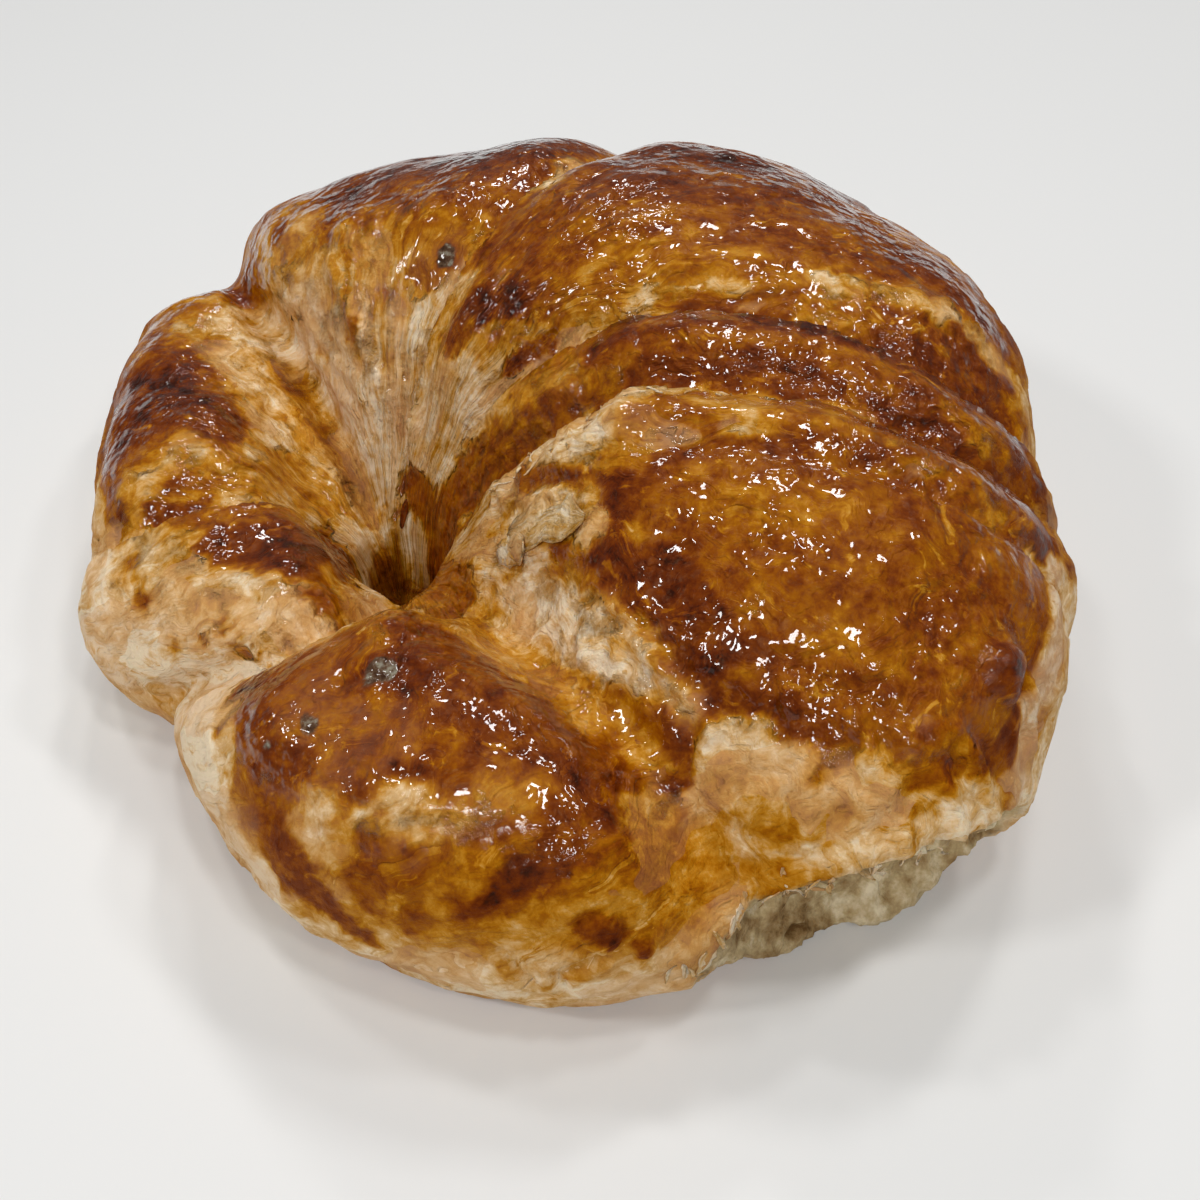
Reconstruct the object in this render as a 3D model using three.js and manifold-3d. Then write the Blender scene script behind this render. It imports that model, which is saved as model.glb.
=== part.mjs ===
// A croissant curled into a closed crescent, baked as one piece: a fat middle on the right, two arms that bend
// round a small well and meet at the front left, the wraps of the rolled dough showing as seams that fan out
// from the well, and a torn tuck under the front right edge.
// Millimetres, +Z up, on its flat underside, with the origin at the centre of the underside's box.

import * as THREE from "three";
import { mergeVertices } from "three/addons/utils/BufferGeometryUtils.js";
import Module from "manifold-3d";

// The well that the arms bend round: the place of its axis, its radius at the floor and its floor's height.
const WELL = { x: -25, y: -4.5, radius: 4.5, floor: 9 };

// The roll around the well. angle: degrees from +X towards +Y. reach: from the well's axis to the outer face.
// height: of the crest above the table. crest: the crest's place, as a share of the reach. full: exponent of the
// inner face's curve, where 2 is an ellipse, more is squarer and less is a flatter slope into the well.
const ROLL = [
  { angle: 0, reach: 92.5, height: 55, crest: 0.5, full: 2 },
  { angle: 20, reach: 94, height: 56, crest: 0.5, full: 2 },
  { angle: 45, reach: 88.5, height: 56, crest: 0.52, full: 1.9 },
  { angle: 65, reach: 80.5, height: 54, crest: 0.54, full: 1.7 },
  { angle: 90, reach: 74.5, height: 49, crest: 0.56, full: 1.5 },
  { angle: 110, reach: 76, height: 43, crest: 0.58, full: 1.5 },
  { angle: 127, reach: 72.5, height: 37, crest: 0.6, full: 1.6 },
  { angle: 145, reach: 59, height: 34, crest: 0.6, full: 1.8 },
  { angle: 172, reach: 47, height: 32, crest: 0.55, full: 2.1 },
  { angle: 198, reach: 45, height: 30, crest: 0.5, full: 2.6 },
  { angle: 218, reach: 40.5, height: 28.5, crest: 0.5, full: 2.6 },
  { angle: 235, reach: 44, height: 31, crest: 0.56, full: 2.4 },
  { angle: 257, reach: 54, height: 35, crest: 0.6, full: 2 },
  { angle: 277, reach: 66, height: 37, crest: 0.6, full: 1.9 },
  { angle: 290, reach: 73, height: 38, crest: 0.58, full: 1.8 },
  { angle: 303, reach: 79, height: 40.5, crest: 0.56, full: 1.7 },
  { angle: 317, reach: 89.5, height: 46, crest: 0.52, full: 1.9 },
  { angle: 340, reach: 93, height: 53, crest: 0.5, full: 2 },
];

// The seams between wraps, in the order of their angles. Each runs from the well over the crest to the outer
// face. depth: of the groove. lower and higher: how far it spreads towards lower and higher angles.
// strips: facets between this seam and the next.
const SEAMS = [
  { name: "middle to front arm", well: -62, crest: -57, rim: -54, depth: 9, lower: 8, higher: 13, strips: 16 },
  { name: "last to third wrap", well: -45, crest: -25, rim: -19, depth: 1.5, lower: 2.5, higher: 7, strips: 8 },
  { name: "third to second wrap", well: -5, crest: -12.5, rim: -10, depth: 5, lower: 3, higher: 9, strips: 12 },
  { name: "second to first wrap", well: 55, crest: 5.5, rim: -2, depth: 4, lower: 3, higher: 11, strips: 18 },
  { name: "first wrap to back arm", well: 106, crest: 60, rim: 64, depth: 4, lower: 3, higher: 8, strips: 18 },
  { name: "back arm's bend", well: 116, crest: 121, rim: 118.5, depth: 10, lower: 5, higher: 12, strips: 16 },
  { name: "back arm to its tip", well: 170, crest: 192, rim: 182, depth: 3, lower: 7, higher: 5, strips: 14 },
  { name: "where the arms meet", well: 280, crest: 251, rim: 219, depth: 7, lower: 5, higher: 7, strips: 20 },
];

const RIM_FADE = 0.75; // share of a groove's depth that is gone at the outer face
const ROWS = 36; // facets from the well's floor to the middle of the underside
const FLOOR_ROWS = 2; // of these, the well's floor
const BASE_ROWS = 3; // and the underside
const BELLY = 0.4; // height of the roll's widest line, as a share of its crest's
const ROUNDNESS = 2.3; // exponent of the outer face's curve, as for the inner face's
const UNDERSIDE_DEPTH = -8; // how far below the table the uncut roll's lowest point is
const TUCK = 0.62; // how far round the section's lower quarter goes before it meets the underside

// The torn tuck: an ellipsoid cut out of the lower front right edge.
const TEAR = { x: 38, y: -66, z: 7, length: 48, depth: 22, height: 30, turn: 20 };

const FULL_TURN = 360;
const wasm = await Module();
wasm.setup();

/** Smooth value of one of ROLL's columns at an angle in degrees, the same after a full turn. */
function around(column, angle) {
  const turned = ((angle % FULL_TURN) + FULL_TURN) % FULL_TURN;
  const count = ROLL.length;
  const at = (i) => ROLL[(i + count) % count][column];
  const angleAt = (i) => ROLL[(i + count) % count].angle + FULL_TURN * Math.floor(i / count);
  let i = count - 1;
  while (angleAt(i) > turned) i -= 1;
  const span = angleAt(i + 1) - angleAt(i);
  const slope = (k) => ((at(k + 1) - at(k - 1)) / (angleAt(k + 1) - angleAt(k - 1))) * span;
  const s = (turned - angleAt(i)) / span;
  return (
    at(i) * (2 * s ** 3 - 3 * s ** 2 + 1) +
    slope(i) * (s ** 3 - 2 * s ** 2 + s) +
    at(i + 1) * (3 * s ** 2 - 2 * s ** 3) +
    slope(i + 1) * (s ** 3 - s ** 2)
  );
}

/** Angle of a seam at a share of the way over the roll: 0 at the well, 0.5 at the crest, 1 at the rim. */
function seamAngle(seam, over) {
  const t = Math.min(over, 1);
  const toCrest = seam.well * (1 - t) * (1 - 2 * t);
  return toCrest + seam.crest * 4 * t * (1 - t) + seam.rim * t * (2 * t - 1);
}

/** The seam at an index that may run past either end of the list, with its angles turned to match. */
function seamAt(index) {
  const count = SEAMS.length;
  const seam = SEAMS[((index % count) + count) % count];
  const turns = FULL_TURN * Math.floor(index / count);
  return { ...seam, well: seam.well + turns, crest: seam.crest + turns, rim: seam.rim + turns };
}

/** How far the grooves sink the surface at an angle, a share of the way over the roll, and a radius. */
function sinking(angle, over, radius) {
  let sunk = 0;
  for (let i = -1; i <= SEAMS.length; i += 1) {
    const seam = seamAt(i);
    const away = THREE.MathUtils.degToRad(angle - seamAngle(seam, over)) * radius;
    const spread = away < 0 ? seam.lower : seam.higher;
    sunk += seam.depth * Math.exp(-((away / spread) ** 2));
  }
  const fade = THREE.MathUtils.smoothstep(over, 0, 0.35) * (1 - RIM_FADE * THREE.MathUtils.smoothstep(over, 0.7, 1.1));
  return sunk * fade;
}

/** Radius and height of the roll's outside, before its grooves. over: 0 at the well, 1 at the rim, 1.5 below. */
function section(angle, over) {
  const reach = around("reach", angle);
  const crestHeight = around("height", angle);
  const crestRadius = around("crest", angle) * reach;
  const turn = Math.PI * over;
  const inside = over < 0.5;
  const power = 2 / (inside ? around("full", angle) : ROUNDNESS);
  const across = Math.sign(-Math.cos(turn)) * Math.abs(Math.cos(turn)) ** power;
  const up = Math.sign(Math.sin(turn)) * Math.abs(Math.sin(turn)) ** power;
  const foot = inside ? WELL.floor : BELLY * crestHeight;
  const half = inside ? crestRadius - WELL.radius : reach - crestRadius;
  return { radius: crestRadius + across * half, height: foot + up * (crestHeight - foot) };
}

/** The grooved surface's point at an angle and a share of the way over, as a vector. */
function surfacePoint(angle, over) {
  const { radius, height } = section(angle, over);
  const centreRadius = around("crest", angle) * around("reach", angle);
  const centreHeight = (BELLY * around("height", angle)) / 2;
  const outwards = new THREE.Vector2(radius - centreRadius, height - centreHeight).normalize();
  const sunk = sinking(angle, over, radius);
  const turn = THREE.MathUtils.degToRad(angle);
  const finalRadius = Math.max(radius - outwards.x * sunk, WELL.radius / 2);
  return new THREE.Vector3(
    WELL.x + finalRadius * Math.cos(turn),
    WELL.y + finalRadius * Math.sin(turn),
    height - outwards.y * sunk,
  );
}

/** The angle of a column of facets, as a function of how far over the roll it is. Columns crowd at the seams. */
function columns() {
  const made = [];
  SEAMS.forEach((seam, index) => {
    const next = seamAt(index + 1);
    for (let i = 0; i < seam.strips; i += 1) {
      const linear = i / seam.strips;
      const eased = 0.45 * linear + 0.55 * THREE.MathUtils.smoothstep(linear, 0, 1);
      made.push((over) => THREE.MathUtils.lerp(seamAngle(seamAt(index), over), seamAngle(next, over), eased));
    }
  });
  made.push(made[0]);
  return made;
}

/** A sphere's net of facets drawn over the roll: one pole on the well's floor, the other under the middle. */
function rollGeometry() {
  const angles = columns();
  const geometry = new THREE.SphereGeometry(1, angles.length - 1, ROWS);
  const position = geometry.attributes.position;
  const sideRows = ROWS - FLOOR_ROWS - BASE_ROWS;
  const lowest = 1 + TUCK / 2;
  for (let row = 0; row <= ROWS; row += 1) {
    const over = THREE.MathUtils.clamp((row - FLOOR_ROWS) / sideRows, 0, 1) * lowest;
    const floorShare = Math.min(row / FLOOR_ROWS, 1);
    const baseShare = Math.min((ROWS - row) / BASE_ROWS, 1);
    angles.forEach((angleAt, column) => {
      const point = surfacePoint(angleAt(over), over);
      const inwards = floorShare * baseShare;
      position.setXYZ(
        row * angles.length + column,
        THREE.MathUtils.lerp(WELL.x, point.x, inwards),
        THREE.MathUtils.lerp(WELL.y, point.y, inwards),
        THREE.MathUtils.lerp(UNDERSIDE_DEPTH, point.z, baseShare),
      );
    });
  }
  return geometry;
}

/** A manifold-3d solid from a closed three.js geometry. */
function solidOf(geometry) {
  const plain = geometry.clone();
  plain.deleteAttribute("normal");
  plain.deleteAttribute("uv");
  const merged = mergeVertices(plain, 1e-3);
  const mesh = { numProp: 3, vertProperties: merged.attributes.position.array, triVerts: merged.index.array };
  return new wasm.Manifold(new wasm.Mesh({ ...mesh, triVerts: new Uint32Array(mesh.triVerts) }));
}

/** A three.js geometry from a manifold-3d solid. */
function geometryOf(solid) {
  const mesh = solid.getMesh();
  const geometry = new THREE.BufferGeometry();
  geometry.setAttribute("position", new THREE.BufferAttribute(mesh.vertProperties, mesh.numProp));
  geometry.setIndex(new THREE.BufferAttribute(mesh.triVerts, 1));
  geometry.computeVertexNormals();
  return geometry;
}

/** Everything below the table's surface, which cuts the underside flat. */
function belowTable() {
  const size = 400;
  return new THREE.BoxGeometry(size, size, size).translate(0, 0, -size / 2);
}

/** The hollow of the torn tuck. */
function tearGeometry() {
  const hollow = new THREE.SphereGeometry(0.5, 24, 16).scale(TEAR.length, TEAR.depth, TEAR.height);
  return hollow.rotateZ(THREE.MathUtils.degToRad(TEAR.turn)).translate(TEAR.x, TEAR.y, TEAR.z);
}

/** The whole croissant, moved so that the origin is at the centre of its underside's box. */
function croissantGeometry() {
  const baked = solidOf(rollGeometry()).subtract(solidOf(belowTable())).subtract(solidOf(tearGeometry()));
  const geometry = geometryOf(baked);
  geometry.computeBoundingBox();
  const middle = geometry.boundingBox.getCenter(new THREE.Vector3());
  return geometry.translate(-middle.x, -middle.y, 0);
}

const crust = new THREE.MeshStandardMaterial({ color: 0xb0661f, roughness: 0.42, metalness: 0 });
const croissant = new THREE.Mesh(croissantGeometry(), crust);
croissant.name = "croissant";

const part = new THREE.Group();
part.add(croissant);

export default part;
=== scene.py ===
"""The look of a croissant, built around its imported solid: crust, torn crumb, loose flakes and a plain studio.

The croissant is one roll of dough curled round a small well. A place on it is given by its angle round the
well and by how far over the roll it is, from the well (0) over the crest (0.5) to the outer face (1). The
shape code works in millimetres; what it hands to Blender is in metres.
"""

import logging
import math
from dataclasses import dataclass, field
from enum import Enum
from typing import NamedTuple

import bmesh
import bpy
import numpy as np
from mathutils import Matrix, Vector

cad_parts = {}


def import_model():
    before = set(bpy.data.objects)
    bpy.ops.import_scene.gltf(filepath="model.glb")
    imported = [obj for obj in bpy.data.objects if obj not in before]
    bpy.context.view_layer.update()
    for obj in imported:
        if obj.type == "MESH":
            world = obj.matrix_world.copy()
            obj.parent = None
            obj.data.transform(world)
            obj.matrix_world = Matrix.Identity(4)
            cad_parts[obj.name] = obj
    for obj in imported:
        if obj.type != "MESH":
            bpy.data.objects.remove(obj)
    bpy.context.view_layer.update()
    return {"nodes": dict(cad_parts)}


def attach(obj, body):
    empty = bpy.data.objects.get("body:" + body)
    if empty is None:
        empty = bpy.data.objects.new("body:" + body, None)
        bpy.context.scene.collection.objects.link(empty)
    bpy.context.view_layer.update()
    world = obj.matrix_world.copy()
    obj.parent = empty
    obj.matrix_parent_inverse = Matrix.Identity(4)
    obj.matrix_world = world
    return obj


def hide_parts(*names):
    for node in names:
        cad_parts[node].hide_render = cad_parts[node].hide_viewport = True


Triple = tuple[float, float, float]  # a place, a way, three sizes or a linear colour
Path = tuple[Triple, ...]
Stops = tuple[tuple[float, Triple], ...]  # places along a ramp, and the colour at each
Socket = bpy.types.NodeSocket

MM = 0.001
CAD_NODE = "croissant"
ARC_PER_REACH = 1.3  # length of the way over the roll for each millimetre of its reach
log = logging.getLogger("croissant")


def smoothstep(low: float, high: float, value: np.ndarray) -> np.ndarray:
    """Smooth rise from 0 at low to 1 at high; falls if high is below low."""
    share = np.clip((value - low) / (high - low), 0.0, 1.0)
    return share * share * (3.0 - 2.0 * share)


def blend(first: np.ndarray, second: np.ndarray | float, share: np.ndarray) -> np.ndarray:
    """Mix of two values, all first where share is 0 and all second where it is 1."""
    return first + (second - first) * share


@dataclass(frozen=True)
class Noise:
    """Smooth seeded noise from about -1 to 1, for many points at once."""

    seed: int

    def corner(self, cells: np.ndarray) -> np.ndarray:
        """Repeatable value from -1 to 1 for each whole-numbered cell.

        Args:
            cells: N rows of three whole numbers.

        Returns:
            N values.
        """
        mixed = cells[:, 0] * 73856093 ^ cells[:, 1] * 19349663 ^ cells[:, 2] * 83492791
        mixed = mixed ^ self.seed * 668265263
        mixed = (mixed ^ mixed >> 13) * 1274126177
        return ((mixed ^ mixed >> 16) & 0xFFFF) / 32767.5 - 1.0

    def value(self, places: np.ndarray) -> np.ndarray:
        """One layer of noise.

        Args:
            places: N rows of three coordinates, in units of one noise cell.

        Returns:
            N values from -1 to 1.
        """
        cells = np.floor(places).astype(np.int64)
        share = places - cells
        share = share**3 * (share * (share * 6.0 - 15.0) + 10.0)
        total = np.zeros(len(places))
        for step in np.ndindex(2, 2, 2):
            offset = np.array(step)
            weight = np.prod(np.where(offset == 1, share, 1.0 - share), axis=1)
            total += weight * self.corner(cells + offset)
        return total

    def layered(self, places: np.ndarray, layers: int = 3, gain: float = 0.5) -> np.ndarray:
        """Several layers of noise, each at twice the last one's frequency and gain times its height.

        Args:
            places: N rows of three coordinates, in cells of the first layer.
            layers: how many layers.
            gain: each layer's height as a share of the last one's.

        Returns:
            N values, from about -1 to 1.
        """
        total = np.zeros(len(places))
        height = 1.0
        for layer in range(layers):
            total += height * self.value(places * 2.0**layer + 17.3 * layer)
            height *= gain
        return total / sum(gain**layer for layer in range(layers))

    def ridged(self, places: np.ndarray, layers: int = 2) -> np.ndarray:
        """Noise folded into sharp ridges, from -1 in the hollows to 1 on the ridges."""
        return 1.0 - 2.0 * np.abs(self.layered(places, layers)) * 1.6


@dataclass(frozen=True)
class Station:
    """The roll's section at one angle round the well: millimetres and shares of the reach."""

    angle: float
    reach: float
    height: float
    crest: float
    full: float


@dataclass(frozen=True)
class Roll:
    """The plain curled roll that every detail is placed on. It follows the solid's own sections."""

    well: tuple[float, float] = (-21.71, -3.267)
    well_radius: float = 4.5
    well_floor: float = 9.0
    belly: float = 0.4
    roundness: float = 2.3
    stations: tuple[Station, ...] = (
        Station(0, 92.5, 55, 0.5, 2),
        Station(20, 94, 56, 0.5, 2),
        Station(45, 88.5, 56, 0.52, 1.9),
        Station(65, 80.5, 54, 0.54, 1.7),
        Station(90, 74.5, 49, 0.56, 1.5),
        Station(110, 76, 43, 0.58, 1.5),
        Station(127, 72.5, 37, 0.6, 1.6),
        Station(145, 59, 34, 0.6, 1.8),
        Station(172, 47, 32, 0.55, 2.1),
        Station(198, 45, 30, 0.5, 2.6),
        Station(218, 40.5, 28.5, 0.5, 2.6),
        Station(235, 44, 31, 0.56, 2.4),
        Station(257, 54, 35, 0.6, 2),
        Station(277, 66, 37, 0.6, 1.9),
        Station(290, 73, 38, 0.58, 1.8),
        Station(303, 79, 40.5, 0.56, 1.7),
        Station(317, 89.5, 46, 0.52, 1.9),
        Station(340, 93, 53, 0.5, 2),
    )

    def around(self, measure: str, angle: np.ndarray) -> np.ndarray:
        """Smooth value of one of the stations' measures at each angle, in degrees.

        Args:
            measure: the name of the stations' field.
            angle: N angles round the well, in degrees.

        Returns:
            N values.
        """
        knots = np.array([station.angle for station in self.stations])
        values = np.array([getattr(station, measure) for station in self.stations], float)
        count = len(knots)
        turned = angle % 360.0
        index = np.searchsorted(knots, turned, side="right") - 1

        def place(i: np.ndarray) -> np.ndarray:
            """Angle of a station whose index may run past either end."""
            return knots[i % count] + 360.0 * (i // count)

        def slope(i: np.ndarray) -> np.ndarray:
            """Slope through a station, from its two neighbours."""
            return (values[(i + 1) % count] - values[(i - 1) % count]) / (place(i + 1) - place(i - 1))

        span = place(index + 1) - place(index)
        share = (turned - place(index)) / span
        start, end = values[index % count], values[(index + 1) % count]
        return (
            start * (2 * share**3 - 3 * share**2 + 1)
            + slope(index) * span * (share**3 - 2 * share**2 + share)
            + end * (3 * share**2 - 2 * share**3)
            + slope(index + 1) * span * (share**3 - share**2)
        )

    def place_of(self, points: np.ndarray) -> tuple[np.ndarray, np.ndarray, np.ndarray]:
        """Where points lie on the roll.

        Args:
            points: N rows of x, y and z in millimetres.

        Returns:
            The angle round the well in degrees, how far over the roll, and the radius from the well in
            millimetres.
        """
        along = points[:, 0] - self.well[0]
        across = points[:, 1] - self.well[1]
        angle = np.degrees(np.arctan2(across, along))
        radius = np.hypot(along, across)
        reach, height = self.around("reach", angle), self.around("height", angle)
        crest = self.around("crest", angle) * reach
        inside = radius < crest
        span = np.where(inside, crest - self.well_radius, reach - crest)
        foot = np.where(inside, self.well_floor, self.belly * height)
        power = np.where(inside, self.around("full", angle), self.roundness) / 2.0
        out = np.clip(np.abs(radius - crest) / span, 0.0, 1.6) ** power
        up = (points[:, 2] - foot) / (height - foot)
        up = np.sign(up) * np.abs(up) ** power
        turn = np.arctan2(up, out) / math.pi
        over = np.where(inside, np.clip(turn, 0.0, 0.5), np.clip(1.0 - turn, 0.5, 1.5))
        return angle, over, radius


@dataclass(frozen=True)
class Seam:
    """A line between two wraps, from the well over the crest to the outer face, and the step there.

    side is 1 where the sheet at higher angles lies on top, -1 where the one at lower angles does, and 0 in a
    crease.
    """

    name: str
    well: float
    crest: float
    rim: float
    side: int = 0
    rise: float = 0.0
    fall: float = 0.0
    run: float = 6.0
    ragged: float = 0.6
    starts: float = 0.1
    ends: float = 1.0

    def angle_at(self, over: np.ndarray) -> np.ndarray:
        """The seam's angle, in degrees, at a share of the way over the roll.

        Args:
            over: how far over the roll, for N points.

        Returns:
            N angles, in degrees.
        """
        share = np.minimum(over, 1.0)
        well_part = self.well * (1 - share) * (1 - 2 * share)
        return well_part + self.crest * 4 * share * (1 - share) + self.rim * share * (2 * share - 1)

    def slope_at(self, over: np.ndarray) -> np.ndarray:
        """How fast the seam's angle changes on the way over, in degrees for the whole way."""
        share = np.minimum(over, 1.0)
        return self.well * (4 * share - 3) + self.crest * (4 - 8 * share) + self.rim * (4 * share - 1)


SEAMS = (
    Seam("middle_to_front_arm", -62, -57, -54, 0, 0.0, 1.6, 2.6, 1.0),
    Seam("middle_wrap_front_edge", -40, -47.5, -39, 1, 0.2, 0.4, 5.0, 1.6, 0.25, 0.72),
    Seam("last_to_third", -45, -25, -19, -1, 0.3, 0.7, 3.0, 0.8, 0.35, 0.95),
    Seam("third_to_second", -5, -12.5, -10, -1, 0.9, 2.6, 5.0, 1.5, 0.08, 1.1),
    Seam("second_to_first", 55, 5.5, -2, -1, 1.3, 2.2, 5.0, 1.0, 0.12, 1.2),
    Seam("first_to_back_arm", 106, 60, 64, -1, 1.2, 2.2, 4.5, 0.9, 0.08, 1.2),
    Seam("back_arm_bend", 116, 121, 118.5, 0, 0.0, 4.2, 2.0, 0.6, 0.02, 0.7),
    Seam("back_arm_to_tip", 170, 192, 182, 1, 1.1, 1.5, 4.5, 0.9, 0.05, 0.85),
    Seam("arms_meeting", 280, 251, 219, 0, 0.0, 2.6, 1.6, 0.8, 0.02, 1.1),
)
WRAP_EDGES = tuple(seam for seam in SEAMS if seam.name not in ("middle_wrap_front_edge", "last_to_third"))


@dataclass(frozen=True)
class Tear:
    """The torn tuck under the front right edge: the crust ends in a lip and bare crumb shows below it."""

    centre: Triple = (44.0, -63.5, 7.5)
    size: Triple = (58.0, 23.0, 36.0)
    turn: float = 20.0
    outward: tuple[float, float] = (0.34, -0.94)

    def depth_in(self, points: np.ndarray) -> np.ndarray:
        """Distance from the hollow's centre as a share of its wall's: under 1 inside, 1 on its wall.

        Args:
            points: N rows of x, y and z in millimetres.

        Returns:
            N shares.
        """
        moved = points - np.array(self.centre)
        turn = math.radians(-self.turn)
        along = moved[:, 0] * math.cos(turn) - moved[:, 1] * math.sin(turn)
        across = moved[:, 0] * math.sin(turn) + moved[:, 1] * math.cos(turn)
        local = np.stack([along, across, moved[:, 2]], axis=1) / (np.array(self.size) / 2.0)
        return np.linalg.norm(local, axis=1)


class Skin:
    """The croissant's surface as arrays: where each point is, and where that lies on the roll."""

    def __init__(self, mesh: bpy.types.Mesh, roll: Roll) -> None:
        """Reads a mesh in metres into arrays in millimetres.

        Args:
            mesh: the mesh to read.
            roll: the plain roll to place its points on.
        """
        count = len(mesh.vertices)
        flat = np.empty(count * 3, np.float32)
        mesh.vertices.foreach_get("co", flat)
        self.points = flat.reshape(-1, 3).astype(float) / MM
        mesh.vertices.foreach_get("normal", flat)
        self.normals = flat.reshape(-1, 3).astype(float)
        self.roll = roll
        self.angle, self.over, self.radius = roll.place_of(self.points)
        self.rest = self.points.copy()
        turn = np.radians(self.angle)
        self.sideways = np.stack([-np.sin(turn), np.cos(turn), np.zeros(count)], axis=1)
        self.along = self.over * self.roll.around("reach", self.angle) * ARC_PER_REACH
        self.tear_depth = Tear().depth_in(self.points)
        ragged = Noise(21).layered(self.rest / 4.0, 3, 0.65) * 0.07
        self.torn = smoothstep(1.03, 0.98, self.tear_depth + ragged)
        self.edge_wander = Noise(111).layered(self.rest / 5.0, 4, 0.7)
        self.warp = 2.6 * Noise(114).layered(self.rest / 9.0, 3, 0.6)
        self.wrap, self.wrap_share = self.find_wraps()
        widths = self.crest_widths()
        starts = np.concatenate([[0.0], np.cumsum(widths)])
        self.across = starts[self.wrap] + self.wrap_share * widths[self.wrap]
        self.full_across = starts[-1]
        crest_radius = roll.around("crest", self.angle) * roll.around("reach", self.angle)
        self.openness = smoothstep(0.18, 0.5, self.radius / crest_radius)
        self.edge_streaks = Noise(112).layered(self.flow_places(2.6, 8.0), 2)
        self.patches = Noise(113).layered(self.flow_places(5.0, 8.0), 4, 0.65)

    def find_wraps(self) -> tuple[np.ndarray, np.ndarray]:
        """Which wrap each point is on, counted from the front crease, and how far across it.

        Returns:
            For each point the wrap's number, and the share of the way across it.
        """
        first = WRAP_EDGES[0].angle_at(self.over)
        turned = (self.angle - first) % 360.0
        edges = [np.zeros(len(turned))]
        for seam in WRAP_EDGES[1:]:
            edges.append((seam.angle_at(self.over) - first) % 360.0)
        edges.append(np.full(len(turned), 360.0))
        bounds = np.maximum.accumulate(np.stack(edges), axis=0)
        wrap = np.clip((turned[None, :] >= bounds).sum(axis=0) - 1, 0, len(WRAP_EDGES) - 1)
        low = np.take_along_axis(bounds, wrap[None, :], 0)[0]
        high = np.take_along_axis(bounds, wrap[None, :] + 1, 0)[0]
        return wrap, (turned - low) / np.maximum(high - low, 1e-6)

    def crest_widths(self) -> np.ndarray:
        """Each wrap's width along the crest, in millimetres, in the order of their edges.

        Returns:
            One width for each wrap.
        """
        crest = np.array([0.5])
        angles = [float(seam.angle_at(crest)[0]) for seam in WRAP_EDGES]
        spans = np.array([(end - start) % 360.0 for start, end in zip(angles, angles[1:] + angles[:1])])
        middles = np.array(angles) + spans / 2.0
        return np.radians(spans) * self.roll.around("crest", middles) * self.roll.around("reach", middles)

    def beside(self, seam: Seam) -> np.ndarray:
        """Distance across a seam in millimetres, positive towards higher angles.

        Args:
            seam: the seam.

        Returns:
            One distance for each point.
        """
        gap = (self.angle - seam.angle_at(self.over) + 180.0) % 360.0 - 180.0
        arc = np.radians(gap) * self.radius
        whole_way = self.roll.around("reach", self.angle) * ARC_PER_REACH
        lean = np.radians(seam.slope_at(self.over)) * self.radius / whole_way
        return arc / np.sqrt(1.0 + lean**2)

    def flow_places(self, across: float, along: float) -> np.ndarray:
        """Noise places stretched along the wraps' fibres, with one cell of the given millimetres each way."""
        places = [(self.across + self.warp) / across, self.along / along, self.rest[:, 2] / 40.0]
        return np.stack(places, axis=1)

    def near(self, path: Path) -> np.ndarray:
        """Distance in millimetres from each point to a path of straight stretches, or to one place.

        Args:
            path: the path's places, in millimetres.

        Returns:
            One distance for each point.
        """
        nodes = np.array(path, float)
        if len(nodes) == 1:
            return np.linalg.norm(self.rest - nodes[0], axis=1)
        least = np.full(len(self.rest), np.inf)
        for start, end in zip(nodes[:-1], nodes[1:]):
            way = end - start
            share = np.clip((self.rest - start) @ way / (way @ way), 0.0, 1.0)
            least = np.minimum(least, np.linalg.norm(self.rest - start - share[:, None] * way, axis=1))
        return least


@dataclass(frozen=True)
class Lumps:
    """Broad unevenness of hand-rolled, risen dough."""

    size: float = 15.0
    height: float = 0.9

    def push(self, skin: Skin) -> np.ndarray:
        """Millimetres to move each point along its normal.

        Args:
            skin: the surface.

        Returns:
            One distance for each point.
        """
        broad = Noise(11).layered(skin.rest / self.size, 2)
        small = Noise(12).layered(skin.rest / (self.size * 0.4), 1)
        return self.height * broad + 0.35 * self.height * small


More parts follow.
